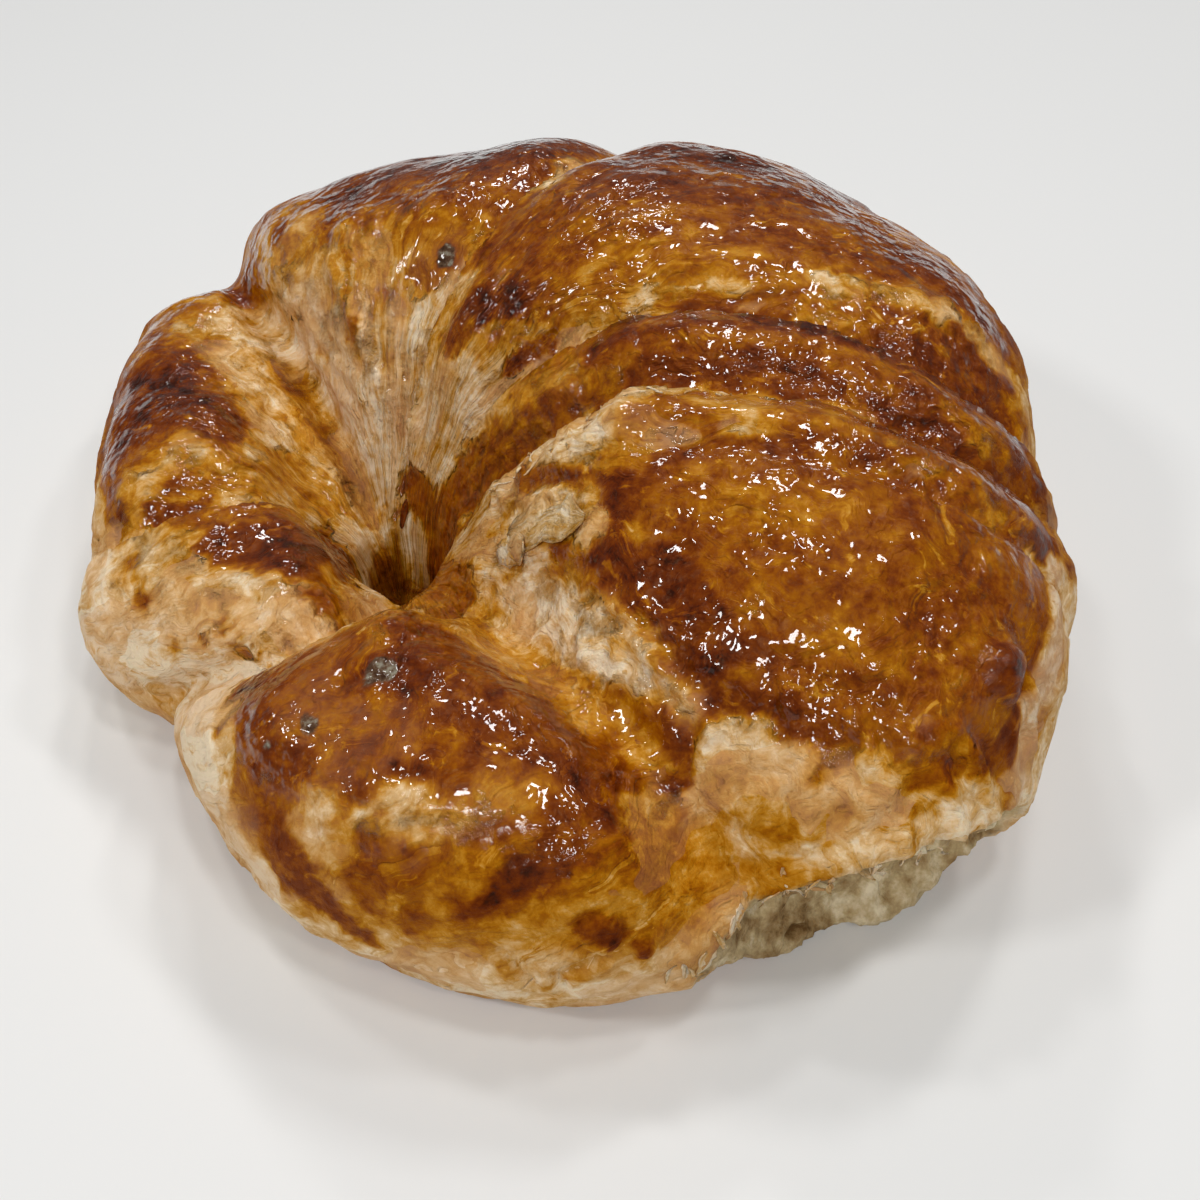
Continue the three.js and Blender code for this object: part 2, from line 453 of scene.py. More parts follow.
@dataclass(frozen=True)
class SeamStep:
    """The step, dip and ragged edge along one seam."""

    seam: Seam

    def edge_distance(self, skin: Skin) -> np.ndarray:
        """Distance from the seam's ragged edge, positive on the sheet that lies on top.

        Args:
            skin: the surface.

        Returns:
            One distance in millimetres for each point.
        """
        side = self.seam.side or 1
        wander = Noise(31).layered(skin.rest / 3.2, 3, 0.6) * self.seam.ragged
        return skin.beside(self.seam) * side + wander

    def strength(self, skin: Skin) -> np.ndarray:
        """1 along the seam, fading at its two ends."""
        starts = smoothstep(self.seam.starts, self.seam.starts + 0.12, skin.over)
        return starts * smoothstep(self.seam.ends + 0.08, self.seam.ends - 0.1, skin.over)

    def push(self, skin: Skin) -> np.ndarray:
        """Millimetres to move each point along its normal.

        Args:
            skin: the surface.

        Returns:
            One distance for each point.
        """
        edge = self.edge_distance(skin)
        seam = self.seam
        if seam.side == 0:
            return -seam.fall * np.exp(-((edge / seam.run) ** 2)) * self.strength(skin)
        on_top = smoothstep(-0.35, 0.45, edge)
        lifted = seam.rise * np.exp(-np.maximum(edge, 0.0) / seam.run)
        dipped = -seam.fall * np.exp(np.minimum(edge, 0.0) / (seam.run * 0.6))
        return blend(dipped, lifted, on_top) * self.strength(skin)

    def slide(self, skin: Skin) -> np.ndarray:
        """Millimetres to move each point sideways, so that the top sheet's edge overhangs.

        Args:
            skin: the surface.

        Returns:
            One distance for each point.
        """
        if self.seam.side == 0:
            return np.zeros(len(skin.rest))
        edge = self.edge_distance(skin)
        lip = smoothstep(-0.2, 0.6, edge) * np.exp(-np.maximum(edge, 0.0) / 1.3)
        return -self.seam.side * 0.9 * lip * min(self.seam.rise, 1.0) * self.strength(skin)


@dataclass(frozen=True)
class Layers:
    """Thin sheet edges that show as fine terraces beside a seam, where the dough has stretched open."""

    seam: Seam
    width: float = 6.0
    spacing: float = 1.5
    height: float = 0.3

    def push(self, skin: Skin) -> np.ndarray:
        """Millimetres to move each point along its normal.

        Args:
            skin: the surface.

        Returns:
            One distance for each point.
        """
        away = -skin.beside(self.seam) * self.seam.side
        wander = Noise(41).layered(skin.flow_places(9.0, 14.0), 3) * 1.6
        saw = ((away + wander) / self.spacing) % 1.0
        shape = saw * smoothstep(1.0, 0.82, saw) - 0.4
        band = smoothstep(0.0, 1.0, away) * smoothstep(self.width, self.width * 0.6, away)
        shown = smoothstep(0.12, 0.3, skin.over) * smoothstep(1.05, 0.85, skin.over)
        return self.height * shape * band * shown


@dataclass(frozen=True)
class Fibres:
    """Long stretched fibres and wrinkles where the dough was drawn out, following the wraps."""

    height: float = 0.34

    def push(self, skin: Skin, stretch: np.ndarray) -> np.ndarray:
        """Millimetres to move each point along its normal.

        Args:
            skin: the surface.
            stretch: how drawn out the dough is at each point, from 0 to 1.

        Returns:
            N distances.
        """
        coarse = Noise(51).ridged(skin.flow_places(5.0, 14.0), 3)
        fine = Noise(52).ridged(skin.flow_places(2.8, 6.5), 2)
        return self.height * stretch * skin.openness * (0.7 * coarse + 0.5 * fine)


@dataclass(frozen=True)
class Flakes:
    """Thin overlapping flakes: the surface goes up and down in small crisp steps."""

    step: float = 0.3
    levels: float = 3.2

    def push(self, skin: Skin, gloss: np.ndarray) -> np.ndarray:
        """Millimetres to move each point along its normal, given the glaze's share at each.

        Args:
            skin: the surface.
            gloss: how glazed each point is, from 0 to 1.

        Returns:
            One distance for each point.
        """
        rough = Noise(55).layered(skin.flow_places(9.0, 14.0), 4, 0.6) * self.levels
        calm = Noise(55).layered(skin.flow_places(9.0, 14.0), 1) * self.levels
        level = np.floor(rough)
        flaky = level + smoothstep(0.0, 0.25, rough - level) - 0.5
        return self.step * blend(flaky, 0.6 * calm, smoothstep(0.15, 0.7, gloss)) * skin.openness


@dataclass(frozen=True)
class Wrinkles:
    """Soft waves in the glazed crown, longer along the wraps than across them."""

    height: float = 0.5

    def push(self, skin: Skin, gloss: np.ndarray) -> np.ndarray:
        """Millimetres to move each point along its normal, given the glaze's share at each."""
        waves = Noise(57).layered(skin.flow_places(6.0, 11.0), 1)
        return self.height * gloss * waves * skin.openness


@dataclass(frozen=True)
class Pit:
    """The well between the arms, deep and steep in its last few millimetres."""

    radius: float = 8.0
    depth: float = 12.0

    def sink(self, skin: Skin) -> np.ndarray:
        """Millimetres to lower each point.

        Args:
            skin: the surface.

        Returns:
            One distance for each point.
        """
        wobble = Noise(58).layered(skin.rest / 6.0, 2) * 1.5
        inside = smoothstep(self.radius, 3.5, skin.radius + wobble) * smoothstep(0.5, 8.0, skin.rest[:, 2])
        return np.minimum(self.depth * inside, np.maximum(skin.rest[:, 2] - 3.0, 0.0))


@dataclass(frozen=True)
class Dimples:
    """Small pits and beads in the dried egg glaze."""

    height: float = 0.05

    def push(self, skin: Skin, gloss: np.ndarray) -> np.ndarray:
        """Millimetres to move each point along its normal, given the glaze's share at each."""
        return self.height * gloss * Noise(61).layered(skin.rest / 2.4, 1)


@dataclass(frozen=True)
class Blister:
    """A raised bubble in the crust."""

    place: Triple
    radius: float
    height: float

    def push(self, skin: Skin) -> np.ndarray:
        """Millimetres to move each point along its normal.

        Args:
            skin: the surface.

        Returns:
            One distance for each point.
        """
        wobble = Noise(71).layered(skin.rest / 2.5, 2) * 0.25
        share = np.clip(skin.near((self.place,)) / self.radius + wobble, 0.0, 1.0)
        rim = np.exp(-(((share - 0.95) / 0.12) ** 2)) * 0.25
        return self.height * (np.sqrt(1.0 - share**2) - rim * (share < 1.0))


@dataclass(frozen=True)
class Swell:
    """A broad soft rise in the dough."""

    place: Triple
    radius: float
    height: float

    def push(self, skin: Skin) -> np.ndarray:
        """Millimetres to move each point along its normal."""
        return self.height * np.exp(-((skin.near((self.place,)) / self.radius) ** 2))


@dataclass(frozen=True)
class Crack:
    """A thin split in the crust."""

    path: Path
    width: float = 0.7
    depth: float = 0.9

    def push(self, skin: Skin) -> np.ndarray:
        """Millimetres to move each point along its normal.

        Args:
            skin: the surface.

        Returns:
            One distance for each point.
        """
        wobble = Noise(81).layered(skin.rest / 1.6, 2) * 0.7
        away = np.abs(skin.near(self.path) + wobble)
        raised_edge = 0.3 * np.exp(-(((away - 1.6) / 0.9) ** 2))
        return -self.depth * np.exp(-((away / self.width) ** 2)) + raised_edge


@dataclass(frozen=True)
class Flap:
    """A loose leaf of crust that lies on the surface, thickest at its crisp edge."""

    path: Path
    radius: float
    height: float

    def push(self, skin: Skin) -> np.ndarray:
        """Millimetres to move each point along its normal.

        Args:
            skin: the surface.

        Returns:
            One distance for each point.
        """
        ragged = Noise(91).layered(skin.rest / 2.6, 3) * 1.2
        inside = self.radius - skin.near(self.path) + ragged
        crisp = 0.55 + 0.45 * np.exp(-np.maximum(inside, 0.0) / 3.0)
        return self.height * smoothstep(-0.3, 0.4, inside) * crisp


@dataclass(frozen=True)
class Pleat:
    """A thin upstanding fold of drawn crust."""

    path: Path
    width: float = 0.8
    height: float = 0.9

    def push(self, skin: Skin) -> np.ndarray:
        """Millimetres to move each point along its normal.

        Args:
            skin: the surface.

        Returns:
            One distance for each point.
        """
        wander = Noise(95).layered(skin.rest / 4.0, 2) * 0.8
        away = skin.near(self.path) + wander
        foot = 0.35 * np.exp(-((away - 2.0) ** 2))
        return self.height * np.exp(-((away / self.width) ** 2)) - foot


@dataclass(frozen=True)
class Web:
    """Soft torn strands of dough that bridge an open seam."""

    path: Path
    width: float = 3.4
    height: float = 0.7

    def push(self, skin: Skin) -> np.ndarray:
        """Millimetres to move each point along its normal.

        Args:
            skin: the surface.

        Returns:
            One distance for each point.
        """
        band = np.exp(-((skin.near(self.path) / self.width) ** 2))
        strands = Noise(97).ridged(skin.rest / np.array([3.2, 3.2, 4.2]), 2)
        knots = Noise(98).layered(skin.rest / 2.2, 2)
        return self.height * band * (0.5 + strands + 0.5 * knots)


@dataclass(frozen=True)
class TornTuck:
    """Rough crumb below the torn lip, and the ragged skirt of crust above it."""

    crumb_height: float = 1.25
    spread: float = 4.5
    lip: float = 1.0

    def push(self, skin: Skin) -> np.ndarray:
        """Millimetres to move each point along its normal.

        Args:
            skin: the surface.

        Returns:
            One distance for each point.
        """
        rough = Noise(101).layered(skin.rest / np.array([2.2, 2.2, 4.0]), 3, 0.6)
        holes = Noise(102).value(skin.rest / 3.4)
        above = smoothstep(0.98, 1.04, skin.tear_depth) * smoothstep(1.3, 1.06, skin.tear_depth)
        rim = above * smoothstep(4.0, 10.0, skin.rest[:, 2]) * self.lip
        return skin.torn * (self.crumb_height * (rough - 0.9 * smoothstep(0.25, 0.7, holes)) - 0.9) + rim

    def shift(self, skin: Skin) -> np.ndarray:
        """Millimetres to move each point of the crumb, so that its foot stands out under the lip.

        Args:
            skin: the surface.

        Returns:
            N rows of x, y and z.
        """
        low = smoothstep(13.0, 0.0, skin.rest[:, 2]) * smoothstep(1.05, 0.85, skin.tear_depth)
        lump = 1.0 + 0.5 * Noise(103).layered(skin.rest * np.array([1.0, 1.0, 0.3]) / 7.0, 2)
        outward = np.array([*Tear().outward, 0.0])
        return (self.spread * low * lump)[:, None] * outward


class Tint(Enum):
    """How a patch of crust was baked, or how much painted shade it gets: bake, gloss, stretch, mauve, char and
    crumb, each from 0 to 1.
    """

    SCORCHED = (0.95, 0.9, 0.1, 0.0, 0.0, 0.0)
    MAHOGANY = (0.87, 1.0, 0.1, 0.0, 0.0, 0.0)
    BROWN = (0.78, 1.0, 0.12, 0.0, 0.0, 0.0)
    AMBER = (0.66, 1.0, 0.1, 0.0, 0.0, 0.0)
    # olive-brown painted shade: laid in the well's pit, along the crease at the back arm and in the hollow
    # below the second wrap's crest
    OLIVE_PAINTED_SHADE = (0.64, 0.5, 0.35, 0.0, 0.0, 0.0)
    GOLD = (0.47, 0.7, 0.5, 0.0, 0.0, 0.0)
    TAN = (0.25, 0.35, 0.75, 0.05, 0.0, 0.0)
    STRAW = (0.17, 0.15, 0.9, 0.0, 0.0, 0.0)
    CREAM = (0.04, 0.05, 1.0, 0.05, 0.0, 0.0)
    MAUVE = (0.22, 0.5, 0.8, 1.0, 0.0, 0.0)
    PEELED = (0.16, 0.5, 0.75, 0.35, 0.0, 0.0)
    BRUISED = (0.66, 1.0, 0.3, 0.2, 0.0, 0.0)
    CHAR = (0.85, 0.7, 0.1, 0.2, 1.0, 0.0)
    CRUMB = (0.2, 0.0, 0.6, 0.0, 0.0, 1.0)


LAYER_NAMES = ("bake", "gloss", "stretch", "mauve", "char", "crumb")


@dataclass(frozen=True)
class Stroke:
    """A patch of one tint along a path on the surface, with a soft, wandering edge."""

    tint: Tint
    path: Path
    radius: float
    strength: float = 1.0
    soft: float = 0.3
    broken: float = 0.0

    def cover(self, skin: Skin) -> np.ndarray:
        """Share of each point that the patch covers.

        Args:
            skin: the surface.

        Returns:
            One share for each point, from 0 to 1.
        """
        reach = self.radius + 1.0
        wander = (0.7 * skin.edge_wander + 0.4 * skin.edge_streaks) * reach
        away = skin.near(self.path) + wander
        kept = blend(1.0, smoothstep(-0.22, 0.16, skin.patches), self.broken)
        outer, inner = self.radius * (1.0 + self.soft), self.radius * (1.0 - self.soft)
        return self.strength * kept * smoothstep(outer, inner, away)


STROKES = (
    # back arm, by the first seam
    Stroke(Tint.AMBER, ((-36, 42, 42), (-24, 43, 48), (-12, 40, 51), (-2, 40, 52)), 6.5),
    Stroke(Tint.BROWN, ((-32, 47, 44), (-20, 46, 49), (-8, 43, 52), (2, 43, 51)), 5.5),
    Stroke(Tint.MAHOGANY, ((-30, 50, 45), (-18, 51, 48), (-4, 48, 51)), 3.4, 0.7),
    Stroke(Tint.AMBER, ((-22, 42, 49), (-11, 37, 51), (0, 31, 53)), 3.5),
    Stroke(Tint.TAN, ((-42, 38, 37), (-36, 33, 39), (-28, 29, 42), (-20, 24, 42)), 7.0, 0.9, 0.3, 0.25),
    Stroke(Tint.GOLD, ((-31, 29, 38), (-25, 32, 45), (-20, 25, 41)), 4.0, 0.8, 0.5, 0.5),
    Stroke(Tint.MAUVE, ((-34, 27, 34), (-27, 17, 28), (-22, 9, 20)), 4.5, 0.6),
    Stroke(Tint.PEELED, ((-38, 33, 35), (-31, 22, 31), (-25, 14, 24)), 4.5, 0.9, 0.4, 0.2),
    Stroke(Tint.PEELED, ((-24, 20, 35), (-19, 14, 30), (-12, 8, 34)), 5.0, 0.85, 0.4, 0.45),
    Stroke(Tint.STRAW, ((-32, 22, 30), (-26, 13, 24), (-23, 9, 19)), 3.0, 0.8, 0.4, 0.3),
    Stroke(Tint.CREAM, ((-48, 40, 29), (-40, 31, 29), (-33, 21, 26), (-29, 14, 21)), 3.2, 0.9, 0.5, 0.5),
    Stroke(Tint.GOLD, ((-44, 47, 38), (-38, 42, 43)), 5.0),
    Stroke(Tint.BROWN, ((-42, 46, 39),), 2.2, 0.7),
    Stroke(Tint.TAN, ((6, 44, 52), (-1, 31, 53), (-8, 24, 49), (-15, 22, 42)), 3.4, 0.9, 0.3, 0.4),
    Stroke(
        Tint.STRAW,
        ((5, 45, 51), (0, 27, 54), (-6, 21, 49), (-16, 24, 41), (-21, 20, 36)),
        1.6, 0.9, 0.5, 0.3,
    ),
    Stroke(Tint.TAN, ((-14, 12, 33), (-10, 17, 41)), 3.6, 0.8, 0.4, 0.3),
    Stroke(Tint.BROWN, ((-7, 17, 45), (-12, 15, 39)), 2.4, 0.8),
    Stroke(Tint.BRUISED, ((-17, 26, 44), (-13, 29, 46)), 2.6, 0.8),
    Stroke(Tint.CHAR, ((-14.5, 28, 45),), 1.5),
    # tip arm on the left
    Stroke(Tint.GOLD, ((-58, 38, 26), (-54, 32, 31), (-50, 26, 31)), 6.0),
    Stroke(Tint.BROWN, ((-55, 22, 31), (-56, 15, 32), (-60, 9, 30), (-62, 4, 27)), 4.4),
    Stroke(Tint.MAHOGANY, ((-56, 20, 32), (-58, 13, 31), (-61, 6, 28)), 2.8),
    Stroke(Tint.MAHOGANY, ((-53, 13, 32), (-46, 10, 30)), 2.6),
    Stroke(Tint.TAN, ((-51, 33, 29), (-46, 22, 28), (-41, 12, 25), (-35, 6, 20)), 5.5, 1.0, 0.4, 0.3),
    Stroke(Tint.STRAW, ((-49, 30, 29), (-43, 18, 27), (-37, 9, 22)), 2.4, 0.5, 0.5, 0.6),
    # olive painted shade along the crease between the tip arm and the back arm
    Stroke(Tint.OLIVE_PAINTED_SHADE, ((-43, 30, 26), (-37, 21, 24), (-32, 14, 21), (-27, 6, 15)), 1.8, 0.45),
    Stroke(Tint.GOLD, ((-55, -1, 29), (-44, 2, 30), (-34, 7, 19)), 4.5, 1.0, 0.3, 0.3),
    Stroke(Tint.TAN, ((-58, -3, 27), (-51, 0, 29), (-43, 4, 28)), 3.2, 0.9, 0.4, 0.4),
    Stroke(Tint.TAN, ((-50, -18, 26), (-41, -24, 26), (-33, -28, 26), (-28, -30, 27)), 5.5),
    Stroke(Tint.TAN, ((-65, 2, 20), (-64, -6, 20)), 5.0, 0.8),
    Stroke(
        Tint.CREAM,
        ((-65, -10, 15), (-62, -17, 18), (-57, -23, 18), (-49, -29, 17), (-40, -33, 20)),
        6.5,
    ),
    Stroke(Tint.PEELED, ((-60, -15, 24), (-56, -21, 22), (-50, -25, 21)), 4.0, 0.8, 0.4, 0.3),
    Stroke(Tint.TAN, ((-54, -12, 25), (-47, -20, 26), (-40, -23, 28)), 4.0, 0.9, 0.4, 0.3),
    Stroke(Tint.PEELED, ((-43, -21, 28), (-34, -21, 29)), 3.0, 0.6, 0.4, 0.3),
    Stroke(Tint.BROWN, ((-40, -16, 28), (-34, -17, 28), (-30, -12, 24), (-30, -4, 18)), 4.4),
    Stroke(Tint.MAHOGANY, ((-37, -16, 28), (-32, -14, 26), (-31, -8, 22)), 3.0),
    Stroke(Tint.BROWN, ((-53, -8, 27), (-47, -6, 28)), 1.8),
    # front arm
    Stroke(Tint.AMBER, ((-27, -46, 34), (-23, -52, 34), (-16, -48, 37), (-4, -50, 34), (4, -56, 33)), 8.0),
    Stroke(Tint.BROWN, ((-13, -38, 35), (-9, -43, 37), (-6, -50, 37), (-2, -55, 36)), 5.5),
    Stroke(Tint.BROWN, ((-11, -52, 37), (-3, -47, 34), (7, -52, 31)), 4.5, 0.9),
    Stroke(Tint.BROWN, ((-31, -47, 32), (-32, -51, 28), (-30, -57, 24)), 2.2, 0.8),
    Stroke(Tint.MAHOGANY, ((12, -53, 30), (9, -58, 32), (6, -62, 32)), 3.2),
    Stroke(Tint.BRUISED, ((-26, -48, 34), (-22, -53, 34), (-15, -55, 36)), 5.5),
    Stroke(Tint.MAHOGANY, ((-30, -52, 31), (-27, -54, 32)), 2.0, 0.8),
    Stroke(Tint.MAHOGANY, ((-15, -57, 34), (-10, -58, 35)), 1.5),
    Stroke(Tint.MAHOGANY, ((-20, -44, 36), (-15, -46, 38)), 2.8, 0.8),
    Stroke(Tint.CHAR, ((-18, -45, 37),), 1.9),
    Stroke(Tint.CHAR, ((-26, -50, 34),), 1.4, 0.8),
    Stroke(Tint.CHAR, ((-31, -51, 31),), 1.0, 0.7),
    Stroke(Tint.PEELED, ((-15, -61, 32), (-10, -63, 32), (-3, -61, 34)), 3.6, 0.95, 0.4, 0.45),
    Stroke(Tint.PEELED, ((-26, -59, 26), (-21, -61, 28)), 3.4, 0.9, 0.4, 0.4),
    Stroke(Tint.AMBER, ((-31, -56, 24), (-30, -60, 18)), 2.0, 1.0, 0.5),
    Stroke(Tint.BROWN, ((-28, -60, 23), (-25, -63, 17), (-20, -66, 14)), 2.2, 0.9, 0.5),
    Stroke(Tint.AMBER, ((-18, -63, 28), (-19, -66, 20)), 2.2, 0.9, 0.5),
    Stroke(Tint.AMBER, ((-13, -65, 28), (-14, -68, 19)), 2.2, 0.9, 0.5),
    Stroke(Tint.AMBER, ((-9, -65, 30), (-8, -69, 23)), 1.6, 0.9, 0.5),
    Stroke(Tint.BROWN, ((4, -63, 32), (1, -67, 29), (-4, -69, 25)), 3.2),
    Stroke(Tint.MAHOGANY, ((-2, -67, 29), (-6, -70, 23)), 2.4),
    Stroke(Tint.GOLD, ((14, -60, 27), (11, -67, 25), (3, -70, 22), (-5, -71, 20)), 5.0, 0.9),
    Stroke(Tint.PEELED, ((-14, -69, 15), (-5, -71, 16), (2, -71, 17)), 3.0, 0.8, 0.4, 0.5),
    Stroke(Tint.STRAW, ((-20, -67, 9), (-6, -71, 9), (4, -72, 9), (14, -69, 11)), 3.6, 0.8),
    Stroke(Tint.CREAM, ((-43, -36, 20), (-42, -44, 22), (-40, -50, 19), (-36, -55, 10)), 6.4),
    Stroke(Tint.TAN, ((-37, -43, 28), (-36, -49, 25)), 2.4, 0.8),
    Stroke(Tint.BROWN, ((6.8, -71, 22.5), (7.4, -71, 22.3)), 2.0, 1.0, 0.2),
    Stroke(Tint.MAHOGANY, ((7.0, -71.0, 22.5),), 1.2, 0.9),
    Stroke(Tint.BROWN, ((11.5, -71.0, 19.5),), 1.1, 1.0, 0.2),
    # well, with olive painted shade down in its pit
    Stroke(Tint.OLIVE_PAINTED_SHADE, ((-21.7, -3.3, 10), (-21.7, -3.3, 3)), 6.0),
    Stroke(Tint.BROWN, ((-19, 5, 18), (-16, 0, 18), (-12, -1, 26), (-6, -2, 33)), 4.2, 0.9),
    Stroke(Tint.AMBER, ((-18, -9, 15), (-14, -15, 20), (-13, -19, 22)), 3.4, 0.9),
    # first wrap
    Stroke(Tint.AMBER, ((-2, 22, 50), (12, 24, 56), (27, 24, 55), (44, 16, 52)), 9.0),
    Stroke(Tint.BROWN, ((6, 28, 56), (14, 28, 56), (22, 25, 56)), 3.6, 0.8),
    Stroke(Tint.GOLD, ((6, 12, 51), (15, 13, 54), (26, 11, 54)), 3.6, 0.7, 0.4, 0.4),
    Stroke(
        Tint.BROWN,
        ((10, 33, 56), (22, 40, 55), (33, 35, 54), (45, 23, 52), (55, 11, 48), (63, 3, 42)),
        4.6,
    ),
    Stroke(Tint.MAHOGANY, ((14, 38, 55), (22, 41, 55), (31, 38, 54)), 3.0),
    Stroke(Tint.MAHOGANY, ((-8, 16, 45), (-3, 13, 47)), 2.4),
    Stroke(Tint.SCORCHED, ((-5, 8, 40), (0, 8, 44)), 0.9),
    Stroke(
        Tint.GOLD,
        ((-3, 5, 40), (2, 8, 45), (11, 9, 50), (21, 10, 53), (34, 8, 53), (48, 7, 51)),
        2.6, 0.8, 0.4, 0.5,
    ),
    Stroke(Tint.STRAW, ((4, 7, 46), (14, 8, 51), (26, 8, 53)), 1.3, 0.8, 0.5, 0.7),
    Stroke(Tint.STRAW, ((38, 8, 52), (46, 7, 51), (53, 6, 49)), 2.2, 0.9, 0.5, 0.5),
    Stroke(Tint.TAN, ((53, 6, 49), (57, 5, 47), (62, 3, 42), (66, 2, 36)), 2.8, 0.9, 0.5, 0.5),
    # second wrap
    Stroke(
        Tint.BROWN,
        ((8, 0, 49), (14, 2, 50), (23, 1, 51), (34, -1, 51), (44, -3, 49), (58, -6, 42)),
        3.8,
    ),
    Stroke(Tint.MAHOGANY, ((9, 1, 49), (14, 3, 50), (23, 1, 51), (34, -1, 51), (42, -3, 49)), 2.4),
    # olive painted shade in the hollow on the front slope below the second wrap's crest
    Stroke(Tint.OLIVE_PAINTED_SHADE, ((-8, 0, 29), (0, -3, 39), (8, -5, 46), (15, -7, 50)), 3.6),
    Stroke(Tint.TAN, ((-5, -10, 30), (0, -12, 37), (4, -14, 42), (9, -15, 47)), 4.2, 0.95, 0.5, 0.1),
    Stroke(Tint.STRAW, ((-4, -10, 32), (1, -12, 39), (8, -14, 46)), 2.6, 0.9, 0.5, 0.45),
    Stroke(Tint.STRAW, ((9, -15, 47), (14, -13.5, 49), (20, -12, 49), (27, -12.5, 50)), 1.7, 0.9, 0.5, 0.4),
    Stroke(Tint.TAN, ((27, -12.5, 50), (36, -15, 49), (42, -17, 48)), 1.3, 0.8, 0.5, 0.5),
    Stroke(
        Tint.BROWN,
        ((13, -6, 49), (20, -7, 51), (28, -8.5, 51), (36, -11.5, 50), (47, -14, 47), (58, -17, 40)),
        2.4,
    ),
    Stroke(Tint.GOLD, ((12, -17, 49), (20, -16, 52), (28, -17, 52)), 3.0),
    # third wrap and the large last one
    Stroke(Tint.BROWN, ((55, 0, 45), (60, -7, 40), (61, -16, 39), (61, -27, 39)), 4.4),
    Stroke(Tint.TAN, ((61, -37, 36), (58, -45, 34)), 2.6, 0.8, 0.4, 0.4),
    Stroke(Tint.MAHOGANY, ((14, -23, 48), (21, -23, 50), (34, -24, 51), (40, -25, 50)), 1.9),
    Stroke(Tint.BROWN, ((42, -19, 47), (52, -20, 44), (58, -25, 42), (62, -29, 38)), 1.8, 0.8),
    Stroke(Tint.AMBER, ((18, -31, 48), (30, -34, 49), (42, -36, 46), (52, -38, 42), (48, -48, 39)), 11.0),
    Stroke(Tint.GOLD, ((22, -31, 49), (33, -33, 49)), 3.0, 0.4),
    Stroke(
        Tint.MAHOGANY,
        ((9, -25, 44), (7, -28, 41), (13, -36, 42), (18, -43, 41), (21, -50, 37)),
        4.2, 0.9,
    ),
    Stroke(Tint.MAHOGANY, ((20, -50, 37), (23, -53, 36), (27, -55, 36)), 2.6, 0.9),
    Stroke(Tint.BROWN, ((11, -41, 37), (17, -48, 37)), 2.6, 0.8, 0.4, 0.4),
    Stroke(Tint.MAHOGANY, ((-2, -13, 36), (3, -17, 41), (8, -22, 44)), 1.5, 0.8, 0.4, 0.3),
    Stroke(Tint.AMBER, ((23, -50, 38), (29, -52, 40), (36, -56, 37), (46, -57, 33), (54, -53, 30)), 3.2),
    Stroke(Tint.BROWN, ((23, -51, 38), (29, -53, 38)), 2.4),
    Stroke(Tint.BROWN, ((50, -55, 31), (55, -50, 32)), 2.2),
    Stroke(Tint.TAN, ((-5, -19, 30), (0, -20, 34), (5, -25, 41)), 4.6, 1.0, 0.3, 0.2),
    Stroke(Tint.BROWN, ((4, -27, 38), (-2, -23, 32)), 1.2, 0.8),
    Stroke(Tint.PEELED, ((-2, -26, 31), (3, -33, 33), (8, -39, 35), (12, -44, 35)), 4.4, 0.95, 0.3, 0.15),
    Stroke(Tint.STRAW, ((-6, -27, 29), (0, -33, 31), (8, -41, 33)), 3.0, 0.8, 0.5, 0.5),
    Stroke(Tint.MAUVE, ((14, -46, 36), (17, -50, 35)), 2.4, 0.8, 0.4, 0.3),
    Stroke(Tint.GOLD, ((-8, -36, 30), (0, -41, 31), (8, -48, 31), (13, -54, 30)), 3.2, 0.9),
    Stroke(Tint.BROWN, ((8, -53, 31), (11, -56, 30)), 1.8, 0.8),
    Stroke(Tint.GOLD, ((13, -58, 29), (16, -63, 26), (17, -67, 22)), 2.8),
    # skirt over the tear
    Stroke(Tint.STRAW, ((22, -56, 32), (30, -60, 30), (38, -62, 28), (48, -60, 25)), 6.0, 1.0, 0.3, 0.15),
    Stroke(Tint.GOLD, ((21, -58, 30), (26, -61, 28), (33, -60, 30)), 2.6, 0.8, 0.5, 0.5),
    Stroke(Tint.TAN, ((20, -53, 34), (28, -56, 34), (38, -59, 34)), 3.0, 0.8, 0.4, 0.3),
    Stroke(Tint.MAUVE, ((63, -31, 35), (61, -40, 33), (57, -48, 30), (55, -54, 23)), 3.0),
    Stroke(Tint.STRAW, ((66, -30, 27), (63, -42, 22), (58, -52, 18)), 5.0),
    Stroke(Tint.MAHOGANY, ((52, -47, 37),), 2.6),
)


